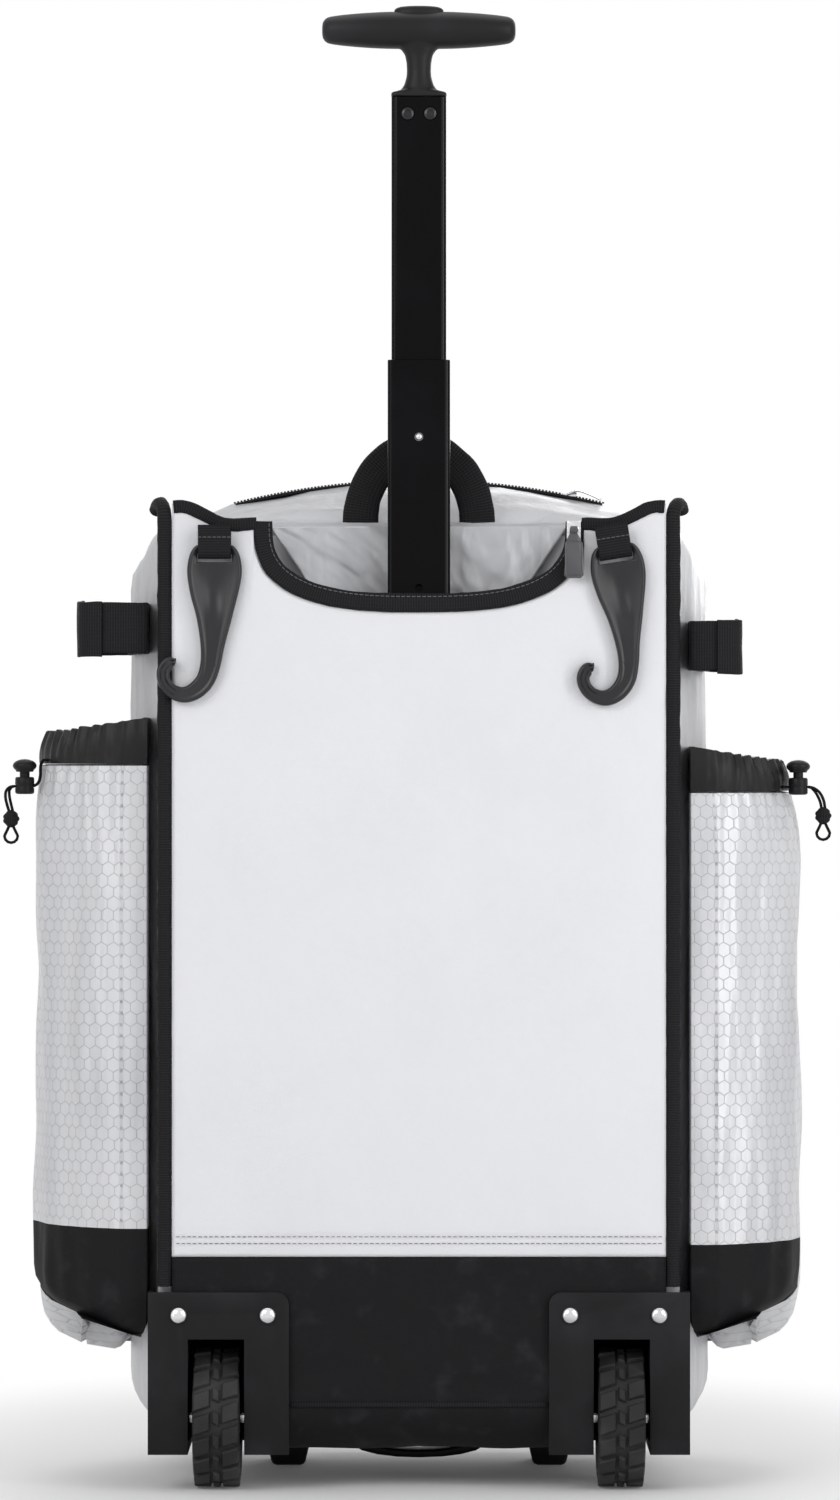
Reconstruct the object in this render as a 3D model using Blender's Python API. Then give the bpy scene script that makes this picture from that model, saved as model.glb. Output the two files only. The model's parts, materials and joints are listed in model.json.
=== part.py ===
"""Wheeled skate and stick bag with side sleeves, hanging hooks and a telescopic trolley handle.

Metres, +Z up. The bag stands on its two wheels and two skid feet, with the origin on the ground
under the middle of the bag. -Y is the trolley side, +Y the door side. Distances named "depth" are
measured forward (+Y) from the outer face of the back panel.
"""

import math

import bmesh
import bpy
from mathutils import Matrix, Vector

# ---- Driving dimensions -------------------------------------------------------------------------
CLEARANCE = 0.0003  # gap that keeps touching pieces apart
BACK_FACE_Y = -0.124  # outer face of the back panel
SIDES = {"left": -1, "right": 1}

# Back panel and the U-shaped mouth of the trolley pocket
PANEL_HALF_WIDTH = 0.1614
PANEL_THICKNESS = 0.0037
PANEL_BOTTOM = 0.154
PANEL_TOP = 0.635
EAR_TOP = 0.646
POCKET_HALF_WIDTH = 0.108
POCKET_DEPTH = 0.057
POCKET_TOP = 0.632
POCKET_SQUARENESS = 2.8
BINDING_WIDTH = 0.0125
BINDING_PROUD = 0.0015

# Piping along the two back corners
PIPING_RADIUS = 0.0045
PIPING_DEPTH = 0.0025
PIPING_BOTTOM = 0.1345
PIPING_BEND = 0.014

# Lower back panel and base
LOWER_THICKNESS = 0.003
BASE_UNDERSIDE = 0.0262
BASE_BEND_RADIUS = 0.032
BASE_FRONT_DEPTH = 0.205

# Main shell: depth, half width, top, bottom, top corner radius, bottom corner radius
SHELL_STATIONS = (
    (0.0073, 0.1705, 0.6347, 0.0465, 0.010, 0.022),
    (0.028, 0.1720, 0.6347, 0.0315, 0.012, 0.024),
    (0.044, 0.1775, 0.6347, 0.0295, 0.020, 0.028),
    (0.060, 0.1825, 0.6440, 0.0295, 0.036, 0.032),
    (0.090, 0.1900, 0.6550, 0.0295, 0.055, 0.038),
    (0.120, 0.1940, 0.6605, 0.0295, 0.068, 0.040),
    (0.160, 0.1945, 0.6615, 0.0295, 0.074, 0.040),
    (0.200, 0.1890, 0.6560, 0.0295, 0.070, 0.040),
    (0.228, 0.1780, 0.6420, 0.0330, 0.060, 0.038),
    (0.240, 0.1680, 0.6300, 0.0400, 0.052, 0.034),
)
SHELL_WALL = 0.004
BACK_WALL_DEPTH = 0.036
BACK_WALL_THICKNESS = 0.004
OPENING_HALF_WIDTH = 0.143
OPENING_BOTTOM = 0.168
OPENING_TOP = 0.598
OPENING_RADIUS = 0.040

# Front door with its pocket
DOOR_HALF_WIDTH = 0.155
DOOR_BOTTOM = 0.1525
DOOR_TOP = 0.610
DOOR_RADIUS = 0.046
DOOR_THICKNESS = 0.004
DOOR_HINGE_BELOW = 0.0005
FRONT_POCKET_HALF_WIDTH = 0.130
FRONT_POCKET_BOTTOM = 0.195
FRONT_POCKET_TOP = 0.450
FRONT_POCKET_BULGE = 0.018
FRONT_POCKET_WALL = 0.003

# Base board inside the bag
BOARD_HALF_WIDTH = 0.098
BOARD_THICKNESS = 0.003

# Wheels and housings
WHEEL_X = 0.1325
WHEEL_RADIUS = 0.046
WHEEL_WIDTH = 0.031
AXLE_DEPTH = 0.032
AXLE_RADIUS = 0.004
RIM_RADIUS = 0.0297
HOUSING_INNER_X = 0.0849
HOUSING_OUTER_X = 0.1770
HOUSING_BOTTOM = 0.025
HOUSING_TOP = 0.131
HOUSING_WALL = 0.0032
HOUSING_LIP_DEPTH = 0.025
WELL_SLOT_WIDTH = 0.0368
WELL_TOP = 0.1003
RIVET_X = (0.0988, 0.1569)
RIVET_Z = 0.116
RIVET_HEAD_RADIUS = 0.0055
RIVET_SHANK_RADIUS = 0.002

# Feet and bottom grab handle
FOOT_X = 0.0885
FOOT_TOP_HALF = 0.0170
FOOT_SOLE_HALF = 0.0110
FOOT_DEPTHS = (0.152, 0.198)
GRAB_HALF_LENGTH = 0.0475
GRAB_LOWEST = 0.0085
GRAB_THICKNESS = 0.005
GRAB_DEPTHS = (0.124, 0.148)

# Telescopic trolley: half width, half depth, corner radius, bottom, top of each stage
TROLLEY_DEPTH = 0.019
TUBE_WALL = 0.0015
FIXED_TUBE = (0.0230, 0.0135, 0.0045, 0.2620, 0.5720)
MIDDLE_TUBE = (0.0205, 0.01125, 0.0042, 0.4520, 0.7405)
INNER_TUBE = (0.0180, 0.0090, 0.0038, 0.6720, 0.9130)
GUIDE_FLANGE = 0.0077
GUIDE_BOSS = 0.0125
LOCK_ABOVE_TUBE_END = 0.018  # a snap button's height above the end of its own tube
LOCK_BUTTON_RADIUS = 0.0024
LOCK_CLIP_WIDTH = 0.010
LOCK_CLIP_STEEL = 0.0006
MID_LOCK_HOLE_Z = 0.591
COLLAR_HALF_WIDTH = 0.0290
COLLAR_HEIGHT = 0.024
COLLAR_LIP = 0.005
BRACKET_HALF_WIDTH = 0.0320
BRACKET_SOCKET = 0.028
BRACKET_FLOOR = 0.012

# Grip and release button
GRIP_HALF_LENGTH = 0.0635
GRIP_AXIS_Z = 0.9572
NECK_FLANGE = 0.003
PLUG_LENGTH = 0.027
BUTTON_HALF = (0.0163, 0.0070)
BUTTON_TRAVEL = 0.005
BUTTON_TOP = 0.9730
BUTTON_SKIRT = 0.0113
ROD_RADIUS = 0.0018
SPRING_CHAMBER_RADIUS = 0.0046
SPRING_CHAMBER_FLOOR = 0.9210
SPRING_COIL_RADIUS = 0.0033
SPRING_WIRE_RADIUS = 0.0004
SPRING_TURNS = 6
SCREW_X = 0.0074
SCREW_BELOW_TUBE_TOP = 0.0112
SCREW_HEAD_RADIUS = 0.0042
SCREW_SHANK_RADIUS = 0.0014

# Haul handle and the flap behind the trolley
HAUL_DEPTHS = (0.0363, 0.0423)
HAUL_OUTER = (0.0475, 0.0595)
HAUL_SLOT = (0.0190, 0.0360)
FLAP_DEPTHS = (0.0337, 0.0357)
FLAP_HALF_WIDTHS = (0.062, 0.098)
FLAP_BOTTOM = 0.5785
FLAP_TOP = 0.6325

# Hooks on their webbing
HOOK_PIVOTS = {"left": (-0.1333, 0.6152), "right": (0.1278, 0.6152)}
HOOK_LEAN = {"left": 0.0, "right": -9.0}  # degrees about Y
HOOK_THICKNESS = 0.005
HOOK_DEPTH = -0.0059
HOOK_SLOT_HALF_WIDTH = 0.0115
HOOK_SLOT_BELOW = (0.0026, 0.0077)
HOOK_BAR_HALF = 0.0026
WEBBING_HALF_WIDTH = 0.0107
WEBBING_THICKNESS = 0.0016
WEBBING_LOOP_RADIUS = 0.0040
WEBBING_RISE = 0.0165
HOOK_OUTLINE = (  # sideways, up from the pivot, half width
    (0.0000, 0.0026, 0.0128),
    (0.0000, -0.0030, 0.0163),
    (0.0000, -0.0140, 0.0179),
    (-0.0002, -0.0275, 0.0159),
    (-0.0002, -0.0430, 0.0119),
    (-0.0012, -0.0605, 0.0076),
    (-0.0026, -0.0740, 0.0060),
    (-0.0060, -0.0845, 0.0056),
    (-0.0125, -0.0915, 0.0053),
    (-0.0205, -0.0942, 0.0048),
    (-0.0280, -0.0915, 0.0044),
    (-0.0328, -0.0855, 0.0042),
    (-0.0334, -0.0785, 0.0040),
    (-0.0296, -0.0735, 0.0034),
    (-0.0262, -0.0730, 0.0020),
)

# Side straps for the stick shafts
STRAP_Z = {"left": (0.548, 0.582), "right": (0.537, 0.570)}
STRAP_REACH = {"left": 0.2224, "right": 0.2103}
STRAP_THICKNESS = 0.0022
STRAP_FRONT_DEPTH = 0.120

# Side sleeves: depth and half width of the outer outline, from back to front
SLEEVE_OUTLINE = (
    (0.0105, 0.1960),
    (0.0230, 0.2205),
    (0.0400, 0.2390),
    (0.0620, 0.2510),
    (0.0900, 0.2560),
    (0.1200, 0.2550),
    (0.1500, 0.2460),
    (0.1780, 0.2280),
    (0.1960, 0.2070),
)
SLEEVE_GATHER = {"left": 0.003, "right": 0.009}
SLEEVE_GATHER_HEIGHT = 0.050
SLEEVE_TOP = {"left": 0.4755, "right": 0.4575}
SLEEVE_WALL = 0.003
SLEEVE_FLOOR = 0.150
SLEEVE_BASE_OUTER = 0.1246
SLEEVE_BASE_INNER = 0.0970
SLEEVE_BULGE_BOTTOM = 0.0800
SLEEVE_CLEARANCE = 0.0006
COLLAR_CLOTH_HEIGHT = {"left": 0.028, "right": 0.027}
COLLAR_CLOTH_SLOPE = 0.13
COLLAR_CLOTH_THICKNESS = 0.0035
COLLAR_CLOTH_GATHER = 0.005

# Drawcords with their cord locks
CORD_RADIUS = 0.001
CORD_DEPTH = 0.055
CORD_SPREAD = 0.0013
LOCK_HOLE = {"left": (0.2610, 0.4610), "right": (0.2511, 0.4605)}
LOCK_BARREL_RADIUS = 0.0063
LOCK_BARREL = (-0.0052, 0.0062)
PLUNGER_TRAVEL = 0.003
PLUNGER_STEM_RADIUS = 0.0033
KNOT = {"left": (0.0090, -0.0215), "right": (0.0165, -0.0190)}
KNOT_RADIUS = 0.0054
KNOT_HALF_HEIGHT = 0.0040
CORD_LOOP_RADIUS = 0.0044
CORD_FROM_COLLAR = {
    "left": ((-0.0122, 0.0172), (-0.0106, 0.0135), (-0.0104, 0.0075), (-0.0093, 0.0028), (-0.0063, 0.0003)),
    "right": ((-0.0064, 0.0),),
}
CORD_OUTER_STRAND = {
    "left": ((0.0070, 0.0), (0.0102, -0.0008), (0.0124, -0.0034), (0.0126, -0.0080), (0.0113, -0.0135)),
    "right": ((0.0070, 0.0), (0.0108, -0.0010), (0.0139, -0.0034), (0.0160, -0.0068), (0.0172, -0.0105)),
}
CORD_INNER_STRAND = {
    "left": ((0.0070, 0.0), (0.0088, -0.0006), (0.0102, -0.0026), (0.0101, -0.0070), (0.0088, -0.0130)),
    "right": ((0.0070, 0.0), (0.0095, -0.0012), (0.0118, -0.0040), (0.0138, -0.0078), (0.0150, -0.0115)),
}

# Zip slider and pull on the trolley pocket
ZIP_X = 0.1010
ZIP_PIN_Z = 0.6285
ZIP_PIN_DEPTH = -0.0074
ZIP_PIN_RADIUS = 0.0011
PULL_HALF_WIDTH = 0.0064
PULL_LENGTH = 0.0315
PULL_THICKNESS = 0.0018


# ---- Modelling helpers --------------------------------------------------------------------------
def at_depth(depth):
    """The Y of a depth in front of the back panel's outer face."""
    return BACK_FACE_Y + depth


def finish(name, colour, roughness, metallic=0.0):
    material = bpy.data.materials.new(name)
    material.use_nodes = True
    shader = material.node_tree.nodes["Principled BSDF"]
    shader.inputs["Base Color"].default_value = (*colour, 1.0)
    shader.inputs["Roughness"].default_value = roughness
    shader.inputs["Metallic"].default_value = metallic
    material.diffuse_color = (*colour, 1.0)
    return material


def add_piece(name, bm, material, sharp_degrees=35.0):
    """Turns the bmesh into an object of this name, shaded smooth except at sharp edges."""
    bmesh.ops.recalc_face_normals(bm, faces=bm.faces)
    mesh = bpy.data.meshes.new(name)
    bm.to_mesh(mesh)
    bm.free()
    mesh.materials.append(material)
    mesh.shade_smooth()
    mesh.set_sharp_from_angle(angle=math.radians(sharp_degrees))
    piece = bpy.data.objects.new(name, mesh)
    bpy.context.scene.collection.objects.link(piece)
    return piece


def add_cutter(name, bm):
    cutter = add_piece(name, bm, cutter_finish)
    cutter.hide_render = True
    cutter.display_type = "WIRE"
    return cutter


def apply_boolean(piece, cutter, operation="DIFFERENCE"):
    modifier = piece.modifiers.new(cutter.name, "BOOLEAN")
    modifier.operation = operation
    modifier.solver = "EXACT"
    modifier.object = cutter


def add_joint_empty(name, place, pieces):
    """An empty on a joint's axis that carries the pieces which move about it."""
    empty = bpy.data.objects.new(name, None)
    empty.location = place
    empty.empty_display_size = 0.02
    bpy.context.scene.collection.objects.link(empty)
    for piece in pieces:
        piece.parent = empty
        piece.matrix_parent_inverse = Matrix.Translation(place).inverted()
    return empty


def on_axis(u, v, along, axis):
    """The point at (u, v) across an axis and this far along it."""
    return {"X": (along, u, v), "Y": (u, along, v), "Z": (u, v, along)}[axis]


def loft(loops, closed=False):
    """Skin over loops of equal length; a closed loft joins the last loop to the first."""
    bm = bmesh.new()
    rings = [[bm.verts.new(point) for point in loop] for loop in loops]
    joined = zip(rings, rings[1:] + rings[:1]) if closed else zip(rings, rings[1:])
    for low, high in joined:
        for i in range(len(low)):
            j = (i + 1) % len(low)
            bm.faces.new((low[i], low[j], high[j], high[i]))
    if not closed:
        bm.faces.new(rings[0])
        bm.faces.new(rings[-1])
    return bm


def prism(outline, axis, start, end):
    return loft([[on_axis(u, v, along, axis) for u, v in outline] for along in (start, end)])


def box(x_range, depth_range, z_range):
    (x0, x1), (y0, y1) = x_range, (at_depth(depth_range[0]), at_depth(depth_range[1]))
    return prism([(x0, y0), (x1, y0), (x1, y1), (x0, y1)], "Z", *z_range)


def ring_points(radius, steps):
    return [
        (radius * math.cos(math.tau * i / steps), radius * math.sin(math.tau * i / steps))
        for i in range(steps)
    ]


def turned(profile, centre, axis, steps=20, bored=False):
    """Solid of revolution: profile points are (radius, distance along the axis from the centre)."""
    base = Vector(centre)
    loops = [
        [base + Vector(on_axis(u, v, along, axis)) for u, v in ring_points(radius, steps)]
        for radius, along in profile
    ]
    return loft(loops, closed=bored)


def rounded_rectangle(half_u, half_v, radius, corner_steps=3, centre=(0.0, 0.0)):
    points = []
    for quarter, (su, sv) in enumerate(((1, 1), (-1, 1), (-1, -1), (1, -1))):
        for step in range(corner_steps + 1):
            angle = math.pi / 2 * (quarter + step / corner_steps)
            u = su * (half_u - radius) + radius * math.cos(angle)
            v = sv * (half_v - radius) + radius * math.sin(angle)
            points.append((centre[0] + u, centre[1] + v))
    return points


def inset(outline, distance):
    """The outline moved inwards by a distance, each corner along its bisector."""
    area = sum(a[0] * b[1] - b[0] * a[1] for a, b in zip(outline, outline[1:] + outline[:1]))
    turn = math.copysign(1.0, area)
    moved = []
    for i, point in enumerate(outline):
        before = Vector(point) - Vector(outline[i - 1])
        after = Vector(outline[(i + 1) % len(outline)]) - Vector(point)
        normals = [Vector((-edge.y, edge.x)).normalized() * turn for edge in (before, after)]
        bisector = normals[0] + normals[1]
        reach = distance * 2 / max(bisector.length_squared, 1.0)
        moved.append(tuple(Vector(point) + bisector * reach))
    return moved


def smooth_path(points, spacing):
    """Catmull-Rom curve through the points, read at about this spacing."""
    points = [Vector(p) for p in points]
    points = [2 * points[0] - points[1], *points, 2 * points[-1] - points[-2]]
    path = []
    for a, b, c, d in zip(points, points[1:], points[2:], points[3:]):
        count = max(1, round((c - b).length / spacing))
        for i in range(count):
            t = i / count
            path.append(
                0.5 * (2 * b + (c - a) * t + (2 * a - 5 * b + 4 * c - d) * t**2
                       + (3 * b - a - 3 * c + d) * t**3)
            )
    return path + [points[-2]]


def add_round_cord(name, path, radius, material):
    """A round cord along a poly spline, with filled ends."""
    curve = bpy.data.curves.new(name, "CURVE")
    curve.dimensions = "3D"
    curve.bevel_depth = radius
    curve.bevel_resolution = 2
    curve.use_fill_caps = True
    spline = curve.splines.new("POLY")
    spline.points.add(len(path) - 1)
    for point, place in zip(spline.points, path):
        point.co = (*place, 1.0)
    curve.materials.append(material)
    cord = bpy.data.objects.new(name, curve)
    bpy.context.scene.collection.objects.link(cord)
    return cord


def shell_value(depth, column):
    """A column of SHELL_STATIONS, read straight between its stations."""
    for low, high in zip(SHELL_STATIONS, SHELL_STATIONS[1:]):
        if depth <= high[0]:
            share = (depth - low[0]) / (high[0] - low[0])
            return low[column] + (high[column] - low[column]) * share
    return SHELL_STATIONS[-1][column]


# ---- Back: panel, pocket mouth, piping, lower panel ----------------------------------------------
def pocket_curve(shrink, steps=22):
    """The U of the pocket mouth from right to left, as (x, z), moved inwards by shrink."""
    power = 2 / POCKET_SQUARENESS
    points = []
    for i in range(steps + 1):
        c, s = math.cos(math.pi * i / steps), math.sin(math.pi * i / steps)
        x = (POCKET_HALF_WIDTH - shrink) * math.copysign(abs(c) ** power, c)
        points.append((x, POCKET_TOP - (POCKET_DEPTH - shrink) * s**power))
    return points


def add_back_panel():
    shoulder = PANEL_HALF_WIDTH - 0.034
    right = [
        (PANEL_HALF_WIDTH, PANEL_BOTTOM),
        (PANEL_HALF_WIDTH, EAR_TOP),
        (PANEL_HALF_WIDTH - 0.010, EAR_TOP),
        (shoulder, PANEL_TOP),
        (POCKET_HALF_WIDTH, PANEL_TOP),
    ]
    left = [(-x, z) for x, z in reversed(right)]
    outline = right + pocket_curve(0.0) + left
    bm = prism(outline, "Y", at_depth(0), at_depth(PANEL_THICKNESS))
    return add_piece("back_panel", bm, silver_cloth)


def add_pocket_binding():
    outer = pocket_curve(CLEARANCE)
    inner = pocket_curve(BINDING_WIDTH)
    bm = prism(outer + inner[::-1], "Y", at_depth(-BINDING_PROUD), at_depth(PANEL_THICKNESS))
    return add_piece("handle_pocket_zip", bm, black_tape)


def add_piping(side, sign):
    x = sign * (PANEL_HALF_WIDTH + CLEARANCE + PIPING_RADIUS)
    y = at_depth(PIPING_DEPTH)
    turn = [
        (x, y + PIPING_BEND * (1 - math.cos(a)), EAR_TOP - PIPING_BEND + PIPING_BEND * math.sin(a))
        for a in (math.pi / 2 * i / 6 for i in range(7))
    ]
    path = [(x, y, PIPING_BOTTOM), (x, y, 0.3), (x, y, 0.45), *turn]
    return add_round_cord(f"piping_{side}", path, PIPING_RADIUS, black_tape)


def lower_panel_outline(offset):
    """Back face, bend and base as (y, z), moved inwards by an offset."""
    centre = (at_depth(BASE_BEND_RADIUS), BASE_UNDERSIDE + BASE_BEND_RADIUS)
    radius = BASE_BEND_RADIUS - offset
    bend = [
        (centre[0] - radius * math.cos(a), centre[1] - radius * math.sin(a))
        for a in (math.pi / 2 * i / 6 for i in range(7))
    ]
    top = (at_depth(offset), PANEL_BOTTOM - CLEARANCE)
    return [top, *bend, (at_depth(BASE_FRONT_DEPTH), BASE_UNDERSIDE + offset)]


def add_lower_panel():
    outline = lower_panel_outline(0.0) + lower_panel_outline(LOWER_THICKNESS)[::-1]
    bm = prism(outline, "X", -PANEL_HALF_WIDTH, PANEL_HALF_WIDTH)
    return add_piece("lower_back_panel", bm, black_cloth)


# ---- Main shell, base board and door -------------------------------------------------------------
def shell_loop(depth, shrink, read_depth):
    """Rounded section of the shell at a depth, moved inwards by shrink."""
    half, top, bottom, r_top, r_bottom = (shell_value(read_depth, c) for c in range(1, 6))
    points = []
    for quarter, (sx, radius) in enumerate(
        ((1, r_top), (-1, r_top), (-1, r_bottom), (1, r_bottom))
    ):
        upper = quarter < 2
        centre_x = sx * (half - radius)
        centre_z = top - radius if upper else bottom + radius
        for step in range(5):
            angle = math.pi / 2 * (quarter + step / 4)
            reach = max(radius - shrink, 0.001)
            spare = shrink - (radius - reach)
            x = centre_x + reach * math.cos(angle) - sx * spare
            z = centre_z + reach * math.sin(angle) + (-spare if upper else spare)
            points.append((x, at_depth(depth), z))
    return points


def opening_loop(depth, half, bottom, top, radius):
    outline = rounded_rectangle(
        half, (top - bottom) / 2, radius, 4, centre=(0.0, (top + bottom) / 2)
    )
    return [(x, at_depth(depth), z) for x, z in outline]


def add_shell():
    depths = [station[0] for station in SHELL_STATIONS]
    inside = BACK_WALL_DEPTH + BACK_WALL_THICKNESS
    front = depths[-1]
    opening = (OPENING_HALF_WIDTH, OPENING_BOTTOM, OPENING_TOP, OPENING_RADIUS)
    inner_depths = [d for d in depths if inside < d < front - SHELL_WALL]
    loops = [
        shell_loop(BACK_WALL_DEPTH, SHELL_WALL, BACK_WALL_DEPTH),
        shell_loop(depths[0], SHELL_WALL, depths[0]),
        *(shell_loop(d, 0.0, d) for d in depths),
        opening_loop(front, *opening),
        opening_loop(front - SHELL_WALL, *opening),
        shell_loop(front - SHELL_WALL, SHELL_WALL, front),
        *(shell_loop(d, SHELL_WALL, d) for d in reversed(inner_depths)),
        shell_loop(inside, SHELL_WALL, inside),
    ]
    shell = add_piece("bag_shell", loft(loops), silver_cloth)
    notch = add_cutter(
        "cutter_trolley_mouth",
        box(
            (-POCKET_HALF_WIDTH - 0.001, POCKET_HALF_WIDTH + 0.001),
            (0.0, BACK_WALL_DEPTH - CLEARANCE),
            (POCKET_TOP - POCKET_DEPTH, EAR_TOP + 0.02),
        ),
    )
    apply_boolean(shell, notch)
    return shell


def add_base_board():
    floor = min(station[3] for station in SHELL_STATIONS) + SHELL_WALL + CLEARANCE
    start = BACK_WALL_DEPTH + BACK_WALL_THICKNESS + 0.002
    bm = box(
        (-BOARD_HALF_WIDTH, BOARD_HALF_WIDTH),
        (start, SHELL_STATIONS[-3][0]),
        (floor, floor + BOARD_THICKNESS),
    )
    return add_piece("base_board", bm, black_plastic)


def add_front_door():
    back = SHELL_STATIONS[-1][0] + CLEARANCE
    face = back + DOOR_THICKNESS
    door = (DOOR_HALF_WIDTH, DOOR_BOTTOM, DOOR_TOP, DOOR_RADIUS)
    pocket = (FRONT_POCKET_HALF_WIDTH, FRONT_POCKET_BOTTOM, FRONT_POCKET_TOP, 0.030)

    def smaller(shape, by):
        half, bottom, top, radius = shape
        return (half - by, bottom + by, top - by, max(radius - by, 0.004))

    floor = face + FRONT_POCKET_BULGE
    hollow = smaller(pocket, FRONT_POCKET_WALL)
    loops = [
        opening_loop(floor - FRONT_POCKET_WALL, *smaller(hollow, 0.012)),
        opening_loop(face + 0.004, *hollow),
        opening_loop(back, *hollow),
        opening_loop(back, *door),
        opening_loop(face, *smaller(door, 0.001)),
        opening_loop(face, *pocket),
        opening_loop(floor - 0.006, *smaller(pocket, 0.003)),
        opening_loop(floor, *smaller(pocket, 0.014)),
    ]
    door_piece = add_piece("front_door", loft(loops), silver_cloth)
    hinge = (0.0, at_depth(back), DOOR_BOTTOM - DOOR_HINGE_BELOW)
    add_joint_empty("door_hinge_axis", hinge, [door_piece])


# ---- Wheels, housings, feet ----------------------------------------------------------------------
def well_profile(grow, extra):
    """Side outline of the wheel well: square at the back, round at the front, open below."""
    centre_y = at_depth(AXLE_DEPTH)
    radius = WELL_TOP - WHEEL_RADIUS + grow
    arc = [
        (centre_y + radius * math.sin(a), WHEEL_RADIUS + radius * math.cos(a))
        for a in (math.pi / 2 * i / 6 for i in range(7))
    ]
    back = at_depth(-HOUSING_WALL - CLEARANCE) - extra
    low = HOUSING_BOTTOM - extra
    return [(back, low), (back, WELL_TOP + grow), *arc, (centre_y + radius - 0.008, low)]


def add_wheel_housing(side, sign):
    inner, outer = sorted((sign * HOUSING_INNER_X, sign * HOUSING_OUTER_X))
    back, front = -HOUSING_WALL - CLEARANCE, -CLEARANCE
    centre_x = sign * WHEEL_X
    half_slot = WELL_SLOT_WIDTH / 2
    corner = [(HOUSING_INNER_X + 0.008 * (1 - math.sin(a)), HOUSING_TOP - 0.008 * (1 - math.cos(a)))
              for a in (math.pi / 2 * i / 4 for i in range(5))]
    outline = [(HOUSING_OUTER_X, HOUSING_BOTTOM), (HOUSING_OUTER_X, HOUSING_TOP), *corner,
               (HOUSING_INNER_X, HOUSING_BOTTOM)]
    plate = prism([(sign * x, z) for x, z in outline], "Y", at_depth(back), at_depth(front))
    housing = add_piece(f"wheel_housing_{side}", plate, black_plastic)
    lip_x = sorted((sign * (HOUSING_OUTER_X - HOUSING_WALL), sign * HOUSING_OUTER_X))
    lip = add_cutter(
        f"cutter_lip_{side}",
        box(lip_x, (back, HOUSING_LIP_DEPTH), (HOUSING_BOTTOM, HOUSING_TOP)),
    )
    block_half = half_slot + HOUSING_WALL
    block = add_cutter(
        f"cutter_block_{side}",
        prism(well_profile(HOUSING_WALL, 0.0), "X", centre_x - block_half, centre_x + block_half),
    )
    slot = add_cutter(
        f"cutter_slot_{side}",
        prism(well_profile(0.0, 0.01), "X", centre_x - half_slot, centre_x + half_slot),
    )
    bore = turned(
        [(AXLE_RADIUS + CLEARANCE, -0.04), (AXLE_RADIUS + CLEARANCE, 0.04)],
        (centre_x, at_depth(AXLE_DEPTH), WHEEL_RADIUS), "X",
    )
    axle_hole = add_cutter(f"cutter_axle_{side}", bore)
    apply_boolean(housing, lip, "UNION")
    apply_boolean(housing, block, "UNION")
    apply_boolean(housing, slot)
    apply_boolean(housing, axle_hole)
    return housing


def add_rivet(number, x, pierced):
    """A domed rivet through the housing and the lower panel, and the hole it sits in."""
    back = -HOUSING_WALL - 2 * CLEARANCE
    tail = LOWER_THICKNESS + CLEARANCE
    profile = [
        (0.0035, tail + 0.0012), (0.0035, tail), (RIVET_SHANK_RADIUS, tail),
        (RIVET_SHANK_RADIUS, back), (RIVET_HEAD_RADIUS, back), (0.0052, back - 0.0014),
        (0.0040, back - 0.0026), (0.0018, back - 0.0032),
    ]
    centre = (x, at_depth(0), RIVET_Z)
    add_piece(f"housing_rivet_{number}", turned(profile, centre, "Y", 14), bright_steel)
    hole = RIVET_SHANK_RADIUS + CLEARANCE
    cutter = add_cutter(
        f"cutter_rivet_{number}", turned([(hole, 0.02), (hole, -0.02)], centre, "Y", 14)
    )
    for piece in pierced:
        apply_boolean(piece, cutter)


def add_wheel(side, sign):
    centre = (sign * WHEEL_X, at_depth(AXLE_DEPTH), WHEEL_RADIUS)
    half = WHEEL_WIDTH / 2
    cheek = WELL_SLOT_WIDTH / 2 + HOUSING_WALL + CLEARANCE
    axle = [(0.0062, -cheek - 0.0022), (0.0065, -cheek), (AXLE_RADIUS, -cheek),
            (AXLE_RADIUS, cheek), (0.0065, cheek), (0.0062, cheek + 0.0022)]
    add_piece(f"axle_{side}", turned(axle, centre, "X", 16), bright_steel)
    bore = AXLE_RADIUS + CLEARANCE
    hub = [(bore, -0.0150), (0.010, -0.0150), (0.010, -0.006), (0.0262, -0.006),
           (0.0262, -0.0125), (RIM_RADIUS, -0.0125)]
    hub += [(radius, -along) for radius, along in reversed(hub)]
    hub_piece = add_piece(f"hub_{side}", turned(hub, centre, "X", 24, bored=True), grey_plastic)
    seat = RIM_RADIUS + CLEARANCE
    tyre = [(seat, -0.0123), (0.0350, -half), (0.0425, -half + 0.0006), (0.0453, -0.0118),
            (WHEEL_RADIUS, -0.0065)]
    tyre += [(radius, -along) for radius, along in reversed(tyre)]
    tyre_piece = add_piece(f"tyre_{side}", turned(tyre, centre, "X", 36, bored=True), tyre_rubber)
    add_joint_empty(f"wheel_{side}_axis", centre, [hub_piece, tyre_piece])


def add_skid_foot(side, sign):
    top = BASE_UNDERSIDE - CLEARANCE
    outline = [(-FOOT_TOP_HALF, top), (-FOOT_SOLE_HALF, 0.0), (FOOT_SOLE_HALF, 0.0),
               (FOOT_TOP_HALF, top)]
    outline = [(sign * FOOT_X + x, z) for x, z in outline]
    bm = prism(outline, "Y", at_depth(FOOT_DEPTHS[0]), at_depth(FOOT_DEPTHS[1]))
    foot = add_piece(f"skid_foot_{side}", bm, black_plastic)
    rounding = foot.modifiers.new("rounding", "BEVEL")
    rounding.width = 0.003
    rounding.segments = 2


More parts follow.
